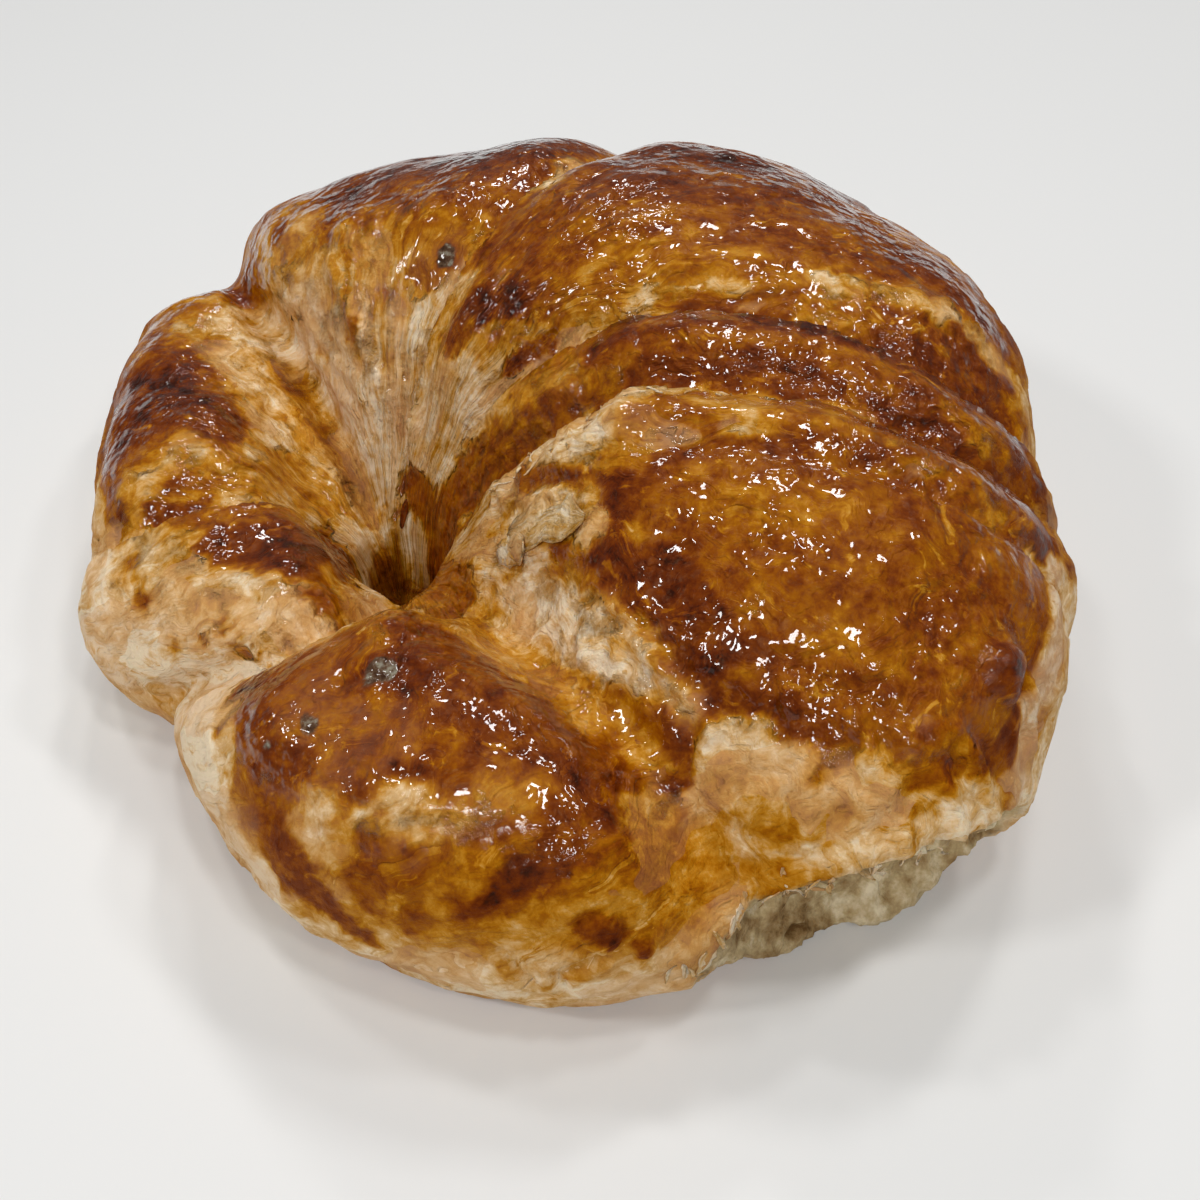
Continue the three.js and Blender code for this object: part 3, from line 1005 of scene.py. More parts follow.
@dataclass(frozen=True)
class Bake:
    """Colour, glaze and stretch of the crust, as one value each for every point of the skin."""

    strokes: tuple[Stroke, ...] = STROKES

    def ground(self, skin: Skin) -> dict[str, np.ndarray]:
        """The crust before its named patches: browned on top, pale in the seams, low down and in the well.

        Args:
            skin: the surface.

        Returns:
            For each layer's name, one value for each point.
        """
        crown = smoothstep(0.12, 0.42, skin.over) * smoothstep(1.04, 0.66, skin.over)
        flank = smoothstep(6.0, 22.0, skin.rest[:, 2]) * smoothstep(0.5, 0.75, skin.over)
        broad = Noise(121).layered(skin.rest / 16.0, 3)
        mottle = Noise(124).layered(skin.rest / 7.0, 4, 0.6)
        streaks = Noise(122).layered(skin.flow_places(6.0, 18.0), 3)
        bake = 0.24 + 0.13 * flank + 0.4 * crown + (0.08 + 0.2 * crown) * broad + 0.08 * streaks
        bake = bake + (0.08 + 0.06 * crown) * mottle
        beneath = smoothstep(3.0, 0.6, skin.rest[:, 2])
        bake = blend(bake, 0.5 + 0.14 * broad, beneath)
        gloss = np.clip(crown * (0.85 + 0.6 * broad), 0.0, 1.0) * (1.0 - beneath)
        stretch = np.clip(0.75 - 0.7 * crown + 0.3 * streaks, 0.0, 1.0)
        layers = {"bake": bake, "gloss": gloss, "stretch": stretch}
        tinges = smoothstep(0.1, 0.6, Noise(123).layered(skin.rest / 9.0, 3))
        layers["mauve"] = 0.35 * tinges * (1.0 - crown)
        layers["char"] = np.zeros(len(bake))
        layers["crumb"] = skin.torn.copy()
        return layers

    def layers(self, skin: Skin) -> dict[str, np.ndarray]:
        """Every layer's value at every point, each from 0 to 1.

        Args:
            skin: the surface.

        Returns:
            For each layer's name, one value for each point.
        """
        layers = self.ground(skin)
        for seam in SEAMS:
            if seam.side == 0:
                continue
            away = -SeamStep(seam).edge_distance(skin)
            pale = smoothstep(-0.3, 0.5, away) * smoothstep(7.0, 1.5, away)
            pale = pale * SeamStep(seam).strength(skin)
            layers["bake"] = blend(layers["bake"], 0.3, pale * 0.6)
            layers["stretch"] = blend(layers["stretch"], 0.9, pale)
            layers["gloss"] = blend(layers["gloss"], 0.4, pale * 0.7)
        for stroke in self.strokes:
            cover = stroke.cover(skin)
            for name, amount in zip(LAYER_NAMES, stroke.tint.value):
                layers[name] = blend(layers[name], amount, cover)
        for name, amount in zip(LAYER_NAMES, Tint.CRUMB.value):
            layers[name] = blend(layers[name], amount, skin.torn)
        layers["gloss"] = layers["gloss"] * (0.2 + 0.8 * smoothstep(0.9, 0.68, skin.over))
        return {name: np.clip(values, 0.0, 1.0) for name, values in layers.items()}


class Graph:
    """A short way to write a material's nodes."""

    def __init__(self, name: str) -> None:
        """Starts an empty node material.

        Args:
            name: the material's name.
        """
        self.material = bpy.data.materials.new(name)
        self.material.use_nodes = True
        self.tree = self.material.node_tree
        self.tree.nodes.clear()

    def add(self, kind: str, settings: dict | None = None, inputs: dict | None = None) -> bpy.types.Node:
        """Adds a node.

        Args:
            kind: the node's type.
            settings: values for the node's own properties.
            inputs: for each input's name or index, a value or the socket that feeds it.

        Returns:
            The node.
        """
        node = self.tree.nodes.new(kind)
        for key, value in (settings or {}).items():
            setattr(node, key, value)
        for key, value in (inputs or {}).items():
            if isinstance(value, Socket):
                self.tree.links.new(value, node.inputs[key])
            else:
                node.inputs[key].default_value = value
        return node

    def scaled(self, places: Socket, across: float, along: float, upward: float = 1.0) -> Socket:
        """Places stretched by a different amount each way."""
        inputs = {"Vector": places, "Scale": (across, along, upward)}
        return self.add("ShaderNodeMapping", None, inputs).outputs[0]

    def warped(self, flow: Socket, places: Socket, scale: float, reach: float) -> Socket:
        """Flow places pushed about by noise, so that a pattern on them wanders.

        Args:
            flow: the places to push.
            places: where the noise is read.
            scale: the noise's scale.
            reach: how far it pushes, in metres.

        Returns:
            The pushed places.
        """
        inputs = {"Vector": places, "Scale": scale, "Detail": 2.0, "Roughness": 0.5}
        push = self.add("ShaderNodeTexNoise", {"noise_dimensions": "3D"}, inputs).outputs["Color"]
        halves = {0: push, 1: (0.5, 0.5, 0.5)}
        centred = self.add("ShaderNodeVectorMath", {"operation": "SUBTRACT"}, halves).outputs[0]
        moved = {0: centred, 1: (reach, reach, reach), 2: flow}
        return self.add("ShaderNodeVectorMath", {"operation": "MULTIPLY_ADD"}, moved).outputs[0]

    def layer(self, name: str) -> Socket:
        """One of the mesh's own value layers."""
        return self.add("ShaderNodeAttribute", {"attribute_name": name}).outputs["Fac"]

    def math(self, operation: str, *values: object) -> Socket:
        """The result of a sum on sockets or numbers."""
        return self.add("ShaderNodeMath", {"operation": operation}, dict(enumerate(values))).outputs[0]

    def noise(self, places: Socket, scale: float, detail: float, rough: float) -> Socket:
        """Layered noise, about 0.5 on average."""
        inputs = {"Vector": places, "Scale": scale, "Detail": detail, "Roughness": rough}
        return self.add("ShaderNodeTexNoise", {"noise_dimensions": "3D"}, inputs).outputs["Fac"]

    def spread(self, value: Socket, low: float, high: float, out: tuple[float, float] = (0.0, 1.0)) -> Socket:
        """A value from low to high, stretched to the output range and held there."""
        inputs = {"Value": value, "From Min": low, "From Max": high, "To Min": out[0], "To Max": out[1]}
        return self.add("ShaderNodeMapRange", {"clamp": True}, inputs).outputs[0]

    def cells(self, places: Socket) -> Socket:
        """A value from 0 to 1 that is the same all over each of many sharp-edged cells.

        Args:
            places: the places, in cells.

        Returns:
            The value.
        """
        inputs = {"Vector": places, "Scale": 1.0}
        node = self.add("ShaderNodeTexVoronoi", {"voronoi_dimensions": "2D"}, inputs)
        return self.add("ShaderNodeSeparateColor", None, {"Color": node.outputs["Color"]}).outputs["Red"]

    def swing(self, value: Socket, reach: Socket | float) -> Socket:
        """Noise turned into a value that swings about zero by up to half the reach each way."""
        return self.math("MULTIPLY", self.math("SUBTRACT", value, 0.5), reach)

    def ramp(self, value: Socket, stops: Stops) -> Socket:
        """A colour that runs through stops of place and colour.

        Args:
            value: what picks the colour, from 0 to 1.
            stops: pairs of a place and a linear colour, in order.

        Returns:
            The colour.
        """
        node = self.add("ShaderNodeValToRGB", None, {"Fac": value})
        elements = node.color_ramp.elements
        while len(elements) < len(stops):
            elements.new(0.5)
        for element, (place, colour) in zip(elements, stops):
            element.position = place
            element.color = (*colour, 1.0)
        return node.outputs["Color"]

    def mix(self, share: object, first: object, second: object) -> Socket:
        """A mix of two colours."""
        inputs = {0: share, 6: first, 7: second}
        return self.add("ShaderNodeMix", {"data_type": "RGBA"}, inputs).outputs[2]

    def bump(self, height: Socket, distance: float, normal: Socket | None = None) -> Socket:
        """A bumped normal, with the height's full range standing for distance in metres.

        Args:
            height: the height.
            distance: what a height of 1 stands for.
            normal: the normal to bump, or None for the surface's own.

        Returns:
            The normal.
        """
        inputs = {"Strength": 1.0, "Distance": distance, "Height": height}
        if normal is not None:
            inputs["Normal"] = normal
        return self.add("ShaderNodeBump", None, inputs).outputs["Normal"]

    def finished(self, shader: bpy.types.Node) -> bpy.types.Material:
        """The material, with a shader node as its surface.

        Args:
            shader: the shader node.

        Returns:
            The material.
        """
        output = self.add("ShaderNodeOutputMaterial")
        self.tree.links.new(shader.outputs["BSDF"], output.inputs["Surface"])
        return self.material


def display(red: int, green: int, blue: int) -> Triple:
    """Scene-linear colour of a display colour given from 0 to 255.

    Args:
        red: red level.
        green: green level.
        blue: blue level.

    Returns:
        The linear red, green and blue, from 0 to 1.
    """

    def linear(level: float) -> float:
        """Linear value of one display level."""
        return level / 12.92 if level <= 0.04045 else ((level + 0.055) / 1.055) ** 2.4

    return linear(red / 255), linear(green / 255), linear(blue / 255)


class Texture(NamedTuple):
    """A layered noise: how fine it is, how many layers it has and how strong the finer ones are."""

    scale: float
    detail: float
    rough: float


@dataclass(frozen=True)
class CrustFinish:
    """The baked crust: cream dough through gold and amber to mahogany, under a patchy egg glaze.

    A pattern's cells say how many of its units there are in a metre across the wraps and along them.
    """

    name: str = "crust"
    stops: Stops = (
        (0.0, display(242, 220, 186)),
        (0.13, display(232, 198, 150)),
        (0.2, display(218, 176, 118)),
        (0.31, display(206, 154, 80)),
        (0.38, display(192, 132, 36)),
        (0.49, display(174, 109, 6)),
        (0.56, display(155, 89, 0)),
        (0.67, display(136, 69, 0)),
        (0.75, display(117, 51, 0)),
        (0.88, display(92, 32, 0)),
        (0.97, display(62, 18, 0)),
        (1.0, display(50, 14, 2)),
    )
    matt: float = 0.6
    shiny: float = 0.3
    sheen_level: float = 0.1
    sheen_tint: Triple = (1.0, 0.74, 0.42)
    glaze_roughness: float = 0.035
    glaze_index: float = 1.35
    flake_step: float = 0.0001
    rough_step: float = 0.001
    glaze_step: float = 0.0015
    translucence: float = 0.08
    translucent_reach: Triple = (0.0022, 0.0011, 0.0005)
    waver: float = 130.0
    waver_reach: float = 0.008
    blotches: Texture = Texture(380.0, 7.0, 0.66)
    mottle: Texture = Texture(150.0, 6.0, 0.68)
    grain: Texture = Texture(1500.0, 3.0, 0.6)
    fibres: Texture = Texture(0.9, 5.0, 0.65)
    fibre_cells: tuple[float, float] = (760.0, 150.0)
    flecks: Texture = Texture(1.0, 4.0, 0.65)
    fleck_cells: tuple[float, float] = (520.0, 230.0)
    flakes: Texture = Texture(1.0, 4.0, 0.6)
    flake_cells: tuple[float, float] = (210.0, 130.0)
    flake_levels: float = 9.0
    scale_cells: tuple[float, float] = (200.0, 120.0)
    wide_beads: Texture = Texture(1.0, 1.0, 0.4)
    wide_bead_cells: tuple[float, float] = (300.0, 190.0)
    middling_beads: Texture = Texture(460.0, 1.0, 0.4)
    fine_beads: Texture = Texture(850.0, 1.0, 0.4)
    bead_heights: Triple = (1.0, 0.55, 0.3)
    pools: Texture = Texture(75.0, 2.0, 0.5)
    # bare crumb: its own uneven tone, with its darkest spots as painted shade in its holes
    hollow_shade: Texture = Texture(1.0, 4.0, 0.6)
    hollow_shade_cells: Triple = (230.0, 230.0, 110.0)
    ash: Texture = Texture(900.0, 3.0, 0.6)
    veil: Triple = display(226, 184, 140)
    bruise: Triple = display(186, 136, 104)
    crumb_and_hollow_shade_stops: Stops = (
        (0.36, display(104, 74, 40)),
        (0.43, display(152, 122, 80)),
        (0.52, display(194, 170, 126)),
        (0.63, display(238, 222, 188)),
    )
    ash_stops: Stops = (
        (0.35, display(44, 28, 18)),
        (0.52, display(86, 66, 50)),
        (0.66, display(140, 136, 120)),
    )

    def patterns(self, graph: Graph) -> dict[str, Socket]:
        """The mesh's own values, and the patterns that the colour and the relief share.

        Args:
            graph: the material's nodes.

        Returns:
            For each value's or pattern's name, the socket that gives it.
        """
        found = {name: graph.layer(name) for name in LAYER_NAMES}
        solid = graph.add("ShaderNodeTexCoord").outputs["Object"]
        flow = graph.add("ShaderNodeUVMap", {"uv_map": "flow"}).outputs["UV"]
        wavy = graph.warped(flow, solid, self.waver, self.waver_reach)
        blotches = graph.noise(solid, *self.blotches)
        flakes = graph.noise(graph.scaled(wavy, *self.flake_cells), *self.flakes)
        flakes = graph.math("MULTIPLY", flakes, self.flake_levels)
        uneven = graph.swing(blotches, graph.spread(found["stretch"], 0.0, 1.0, (0.8, 0.7)))
        return found | {
            "solid": solid,
            "wavy": wavy,
            "blotches": blotches,
            "grain": graph.noise(solid, *self.grain),
            "fibres": graph.noise(graph.scaled(wavy, *self.fibre_cells), *self.fibres),
            "scales": graph.cells(graph.scaled(wavy, *self.scale_cells)),
            "flake_level": graph.math("FLOOR", flakes),
            "flake_share": graph.math("FRACT", flakes),
            "uneven": uneven,
            "glazed": graph.spread(graph.math("ADD", found["gloss"], uneven), 0.3, 0.6),
        }

    def baked(self, graph: Graph, found: dict[str, Socket]) -> Socket:
        """The crust's own colour: how baked it is, made uneven by every pattern.

        Args:
            graph: the material's nodes.
            found: the patterns.

        Returns:
            The colour.
        """
        stretch, share = found["stretch"], found["flake_share"]
        flecks = graph.noise(graph.scaled(found["wavy"], *self.fleck_cells), *self.flecks)
        fleck_reach = graph.spread(stretch, 0.0, 1.0, (-0.26, 0.2))
        flake_tone = graph.math("SINE", graph.math("MULTIPLY", found["flake_level"], 2.4))
        flake_edge = graph.math("SUBTRACT", 1.0, graph.spread(share, 0.1, 0.3))
        scale_tone = graph.swing(found["scales"], 1.0)
        parts = (
            found["uneven"],
            graph.swing(found["fibres"], graph.spread(stretch, 0.0, 1.0, (0.3, 1.1))),
            graph.swing(graph.noise(found["solid"], *self.mottle), 0.5),
            graph.swing(found["grain"], 0.14),
            graph.math("MULTIPLY", flake_tone, graph.spread(stretch, 0.0, 1.0, (0.03, 0.08))),
            graph.math("MULTIPLY", scale_tone, graph.spread(stretch, 0.1, 0.9, (0.03, 0.2))),
            graph.math("MULTIPLY", graph.spread(flecks, 0.6, 0.66), fleck_reach),
            graph.math("MULTIPLY", flake_edge, 0.035),
        )
        tone = found["bake"]
        for part in parts:
            tone = graph.math("ADD", tone, part)
        return graph.ramp(tone, self.stops)

    def patched(self, graph: Graph, found: dict[str, Socket], colour: Socket) -> Socket:
        """The colour with pale scales, mauve bruises, bare crumb with painted shade in its holes, and ash laid
        over it in turn.

        Args:
            graph: the material's nodes.
            found: the patterns.
            colour: the crust's own colour.

        Returns:
            The colour.
        """
        blotches = found["blotches"]
        drawn_out = graph.spread(found["stretch"], 0.4, 0.9, (0.0, 0.45))
        veil = graph.math("MULTIPLY", graph.spread(found["scales"], 0.62, 0.7), drawn_out)
        colour = graph.mix(veil, colour, (*self.veil, 1.0))
        mauve = graph.math("MULTIPLY", found["mauve"], graph.spread(blotches, 0.35, 0.6, (0.1, 0.6)))
        colour = graph.mix(mauve, colour, (*self.bruise, 1.0))
        # bare crumb, its own tone uneven, with its darkest spots as painted shade in its holes
        hollow_shade = graph.noise(graph.scaled(found["solid"], *self.hollow_shade_cells), *self.hollow_shade)
        hollow_shade = graph.math("MULTIPLY", hollow_shade, 0.6)
        crumb_tone = graph.math("ADD", hollow_shade, graph.math("MULTIPLY", blotches, 0.4))
        colour = graph.mix(found["crumb"], colour, graph.ramp(crumb_tone, self.crumb_and_hollow_shade_stops))
        ash = graph.ramp(graph.noise(found["solid"], *self.ash), self.ash_stops)
        charred = graph.math("ADD", found["char"], graph.math("SUBTRACT", blotches, 0.5))
        charred = graph.math("MULTIPLY", graph.spread(charred, 0.35, 0.75), 0.9)
        return graph.mix(charred, colour, ash)

    def glaze_height(self, graph: Graph, found: dict[str, Socket]) -> Socket:
        """How high the dried glaze stands: beads of three sizes, thick in its pools and thin between them.

        Args:
            graph: the material's nodes.
            found: the patterns.

        Returns:
            The height.
        """
        solid, heights = found["solid"], self.bead_heights
        wide = graph.noise(graph.scaled(found["wavy"], *self.wide_bead_cells), *self.wide_beads)
        wide = graph.swing(wide, heights[0])
        middling = graph.swing(graph.noise(solid, *self.middling_beads), heights[1])
        fine = graph.swing(graph.noise(solid, *self.fine_beads), heights[2])
        dense = graph.math("MULTIPLY", fine, graph.spread(found["bake"], 0.58, 0.76, (0.25, 1.0)))
        beads = graph.math("ADD", graph.math("ADD", wide, middling), dense)
        pooled = graph.spread(graph.noise(solid, *self.pools), 0.38, 0.62, (0.35, 1.4))
        return graph.math("MULTIPLY", beads, graph.math("MULTIPLY", found["glazed"], pooled))

    def rough_height(self, graph: Graph, found: dict[str, Socket]) -> Socket:
        """How high the drawn fibres and the blotches stand, smoothed where the glaze lies.

        Args:
            graph: the material's nodes.
            found: the patterns.

        Returns:
            The height.
        """
        height = graph.math("MULTIPLY", graph.math("MULTIPLY", found["fibres"], found["stretch"]), 0.9)
        for name, share in (("blotches", 0.6), ("grain", 0.1)):
            height = graph.math("ADD", height, graph.math("MULTIPLY", found[name], share))
        return graph.math("MULTIPLY", height, graph.spread(found["glazed"], 0.0, 1.0, (1.0, 0.15)))

    def build(self) -> bpy.types.Material:
        """Makes the node material.

        Returns:
            The material.
        """
        graph = Graph(self.name)
        found = self.patterns(graph)
        glaze_height = self.glaze_height(graph, found)
        riser = graph.spread(found["flake_share"], 0.0, 0.4)
        normal = graph.bump(graph.math("ADD", found["flake_level"], riser), self.flake_step)
        normal = graph.bump(self.rough_height(graph, found), self.rough_step, normal)
        inputs = {
            "Base Color": self.patched(graph, found, self.baked(graph, found)),
            "Roughness": graph.spread(found["glazed"], 0.0, 1.0, (self.matt, self.shiny)),
            "Normal": graph.bump(glaze_height, self.glaze_step, normal),
            "Specular IOR Level": self.sheen_level,
            "Specular Tint": (*self.sheen_tint, 1.0),
            "Coat Weight": found["glazed"],
            "Coat Roughness": self.glaze_roughness,
            "Coat IOR": self.glaze_index,
            "Coat Normal": graph.bump(glaze_height, self.rough_step),
            "Subsurface Weight": self.translucence,
            "Subsurface Radius": self.translucent_reach,
            "Subsurface Scale": 1.0,
        }
        return graph.finished(graph.add("ShaderNodeBsdfPrincipled", None, inputs))


@dataclass
class CrustPiece:
    """The croissant's whole surface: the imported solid, remeshed finely and worked in relief and colour."""

    solid: bpy.types.Mesh
    roll: Roll = field(default_factory=Roll)
    finish: CrustFinish = field(default_factory=CrustFinish)
    coarse_voxel: float = 1.1
    fine_voxel: float = 0.82
    blisters: tuple[Blister, ...] = (
        Blister((7.0, -71.0, 22.5), 3.0, 1.3),
        Blister((11.5, -71.0, 19.5), 1.6, 0.9),
        Blister((52.0, -47.0, 37.0), 3.6, 1.6),
        Blister((44.0, -55.0, 36.0), 2.2, 0.9),
        Blister((-18.0, -43.0, 37.0), 2.2, 0.8),
    )
    cracks: tuple[Crack, ...] = (
        Crack(((-5.0, -71.0, 19.0), (-1.0, -71.0, 13.0))),
        Crack(((7.0, -71.0, 18.5), (2.0, -72.0, 15.0), (3.0, -71.0, 11.0))),
    )
    flaps: tuple[Flap, ...] = (
        Flap(((-3.0, -18.0, 32.0), (4.0, -24.0, 40.0)), 4.2, 0.6),
        Flap(((50.0, 7.0, 50.0), (57.0, 5.0, 47.0)), 2.6, 0.5),
        Flap(((-47.0, 41.0, 36.0), (-42.0, 36.0, 36.0)), 3.4, 0.6),
    )
    swells: tuple[Swell, ...] = (
        Swell((-54.0, 43.0, 26.0), 6.5, 2.6),
        Swell((-57.0, 38.0, 20.0), 6.0, 1.6),
    )
    pleats: tuple[Pleat, ...] = (
        Pleat(((27.0, -50.0, 41.0), (29.0, -57.0, 34.0), (30.0, -62.0, 27.0))),
        Pleat(((34.0, -54.0, 39.0), (38.0, -60.0, 33.0), (40.0, -63.0, 27.0))),
        Pleat(((39.0, -55.0, 37.0), (45.0, -59.0, 31.0), (47.0, -62.0, 24.0))),
        Pleat(((46.0, -54.0, 36.0), (50.0, -57.0, 30.0), (52.0, -59.0, 22.0))),
        Pleat(((18.0, -52.0, 35.0), (19.0, -58.0, 31.0), (17.0, -64.0, 26.0)), 1.0, 0.7),
        Pleat(((56.0, -46.0, 34.0), (58.0, -50.0, 26.0), (58.0, -53.0, 18.0))),
        Pleat(((12.0, -42.0, 37.0), (17.0, -48.0, 35.0), (20.0, -52.0, 34.0)), 0.9, 0.6),
        Pleat(((-38.0, 30.0, 33.0), (-30.0, 20.0, 30.0), (-26.0, 11.0, 22.0)), 0.8, 0.7),
        Pleat(((-33.0, 34.0, 42.0), (-27.0, 22.0, 36.0), (-23.0, 12.0, 26.0)), 0.8, 0.6),
        Pleat(((-20.0, 24.0, 43.0), (-19.0, 14.0, 32.0), (-20.0, 8.0, 22.0)), 0.8, 0.6),
    )
    webs: tuple[Web, ...] = (
        Web(((-6.0, -9.0, 30.0), (0.0, -11.5, 37.0), (5.0, -13.0, 43.0), (11.0, -13.0, 48.0))),
        Web(((11.0, -12.0, 48.0), (20.0, -11.0, 49.0), (32.0, -12.5, 50.0)), 2.2, 0.4),
        Web(((2.0, -36.0, 32.0), (9.0, -43.0, 34.0), (15.0, -49.0, 34.0)), 5.0, 0.35),
        Web(((22.0, -59.0, 31.0), (34.0, -61.0, 30.0), (48.0, -59.0, 27.0)), 5.0, 0.4),
    )

    def copy_solid(self) -> bpy.types.Mesh:
        """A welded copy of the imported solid's mesh; the solid itself is left as it is.

        Returns:
            The copy, with no material.
        """
        mesh = self.solid.copy()
        mesh.name = "crust_mesh"
        work = bmesh.new()
        work.from_mesh(mesh)
        bmesh.ops.remove_doubles(work, verts=work.verts, dist=0.01 * MM)
        work.to_mesh(mesh)
        work.free()
        mesh.materials.clear()
        return mesh

    def remesh(self, mesh: bpy.types.Mesh) -> bpy.types.Mesh:
        """Even small facets in place of the solid's large ones, smoothed so that none of those shows.

        Args:
            mesh: the mesh to follow.

        Returns:
            The new mesh.
        """
        worker = bpy.data.objects.new("crust_worker", mesh)
        bpy.context.scene.collection.objects.link(worker)
        for step, (voxel, rounds) in enumerate(((self.coarse_voxel, 9), (self.fine_voxel, 3))):
            remesh = worker.modifiers.new(f"remesh_{step}", "REMESH")
            remesh.mode = "VOXEL"
            remesh.voxel_size = voxel * MM
            smooth = worker.modifiers.new(f"smooth_{step}", "SMOOTH")
            smooth.factor = 0.5
            smooth.iterations = rounds
        graph = bpy.context.evaluated_depsgraph_get()
        made = bpy.data.meshes.new_from_object(worker.evaluated_get(graph))
        bpy.data.objects.remove(worker)
        return made

    def work(self, skin: Skin, layers: dict[str, np.ndarray]) -> np.ndarray:
        """Every point's new place, in millimetres.

        Args:
            skin: the surface.
            layers: the value layers, by name.

        Returns:
            N rows of x, y and z.
        """
        push = Lumps().push(skin)
        slide = np.zeros(len(push))
        for seam in SEAMS:
            step = SeamStep(seam)
            push += step.push(skin)
            slide += step.slide(skin)
            if seam.side != 0 and seam.rise > 0.9:
                push += Layers(seam).push(skin)
        push += Fibres().push(skin, layers["stretch"] * (1.0 - layers["crumb"]))
        push += Dimples().push(skin, layers["gloss"])
        push += Flakes().push(skin, layers["gloss"])
        push += Wrinkles().push(skin, layers["gloss"])
        shapes = (*self.blisters, *self.cracks, *self.flaps, *self.swells, *self.pleats, *self.webs)
        for detail in (*shapes, TornTuck()):
            push += detail.push(skin)
        above = smoothstep(0.3, 3.0, skin.rest[:, 2])
        points = skin.rest + skin.normals * (push * above)[:, None]
        points += skin.sideways * (slide * above)[:, None]
        points += TornTuck().shift(skin)
        points[:, 2] -= Pit().sink(skin)
        points[:, 2] = np.where(skin.rest[:, 2] < 0.25, 0.0, np.maximum(points[:, 2], 0.0))
        return points

    def store_layers(self, mesh: bpy.types.Mesh, layers: dict[str, np.ndarray]) -> None:
        """Writes the value layers onto the mesh.

        Args:
            mesh: the mesh to write on.
            layers: the value layers, by name.
        """
        for name in LAYER_NAMES:
            attribute = mesh.attributes.new(name, "FLOAT", "POINT")
            attribute.data.foreach_set("value", layers[name].astype(np.float32))

    def store_flow(self, mesh: bpy.types.Mesh, skin: Skin) -> None:
        """Writes the UV map that runs across and along the wraps, in metres, whole where it wraps round.

        Args:
            mesh: the mesh to write on.
            skin: the surface.
        """
        corners = np.empty(len(mesh.loops), np.int32)
        mesh.loops.foreach_get("vertex_index", corners)
        starts = np.empty(len(mesh.polygons), np.int32)
        mesh.polygons.foreach_get("loop_start", starts)
        across = skin.across[corners]
        full = skin.full_across
        highest = np.maximum.reduceat(across, starts)
        counts = np.diff(np.append(starts, len(across)))
        crossing = np.repeat(highest - np.minimum.reduceat(across, starts) > full / 2, counts)
        across = np.where(crossing & (across < full / 2), across + full, across)
        flow = np.stack([across, skin.along[corners]], axis=1) * MM
        mesh.uv_layers.new(name="flow").data.foreach_set("uv", flow.astype(np.float32).ravel())

    def build(self) -> bpy.types.Object:
        """Makes the piece and gives it its finish.

        Returns:
            The piece.
        """
        mesh = self.remesh(self.copy_solid())
        mesh.name = "croissant_crust"
        skin = Skin(mesh, self.roll)
        layers = Bake().layers(skin)
        points = self.work(skin, layers)
        mesh.vertices.foreach_set("co", (points * MM).astype(np.float32).ravel())
        self.store_layers(mesh, layers)
        self.store_flow(mesh, skin)
        mesh.shade_smooth()
        mesh.materials.append(self.finish.build())
        mesh.update()
        piece = bpy.data.objects.new("croissant_crust", mesh)
        bpy.context.scene.collection.objects.link(piece)
        log.info("crust: %d points, %d faces", len(mesh.vertices), len(mesh.polygons))
        return piece


@dataclass(frozen=True)
class Leaf:
    """A thin loose leaf of crust that lies on the surface and lifts at its far end."""

    centre: Triple
    toward: Triple
    length: float
    width: float
    lift: float
    tint: Tint
    seed: int = 1
    droop: float = 0.0


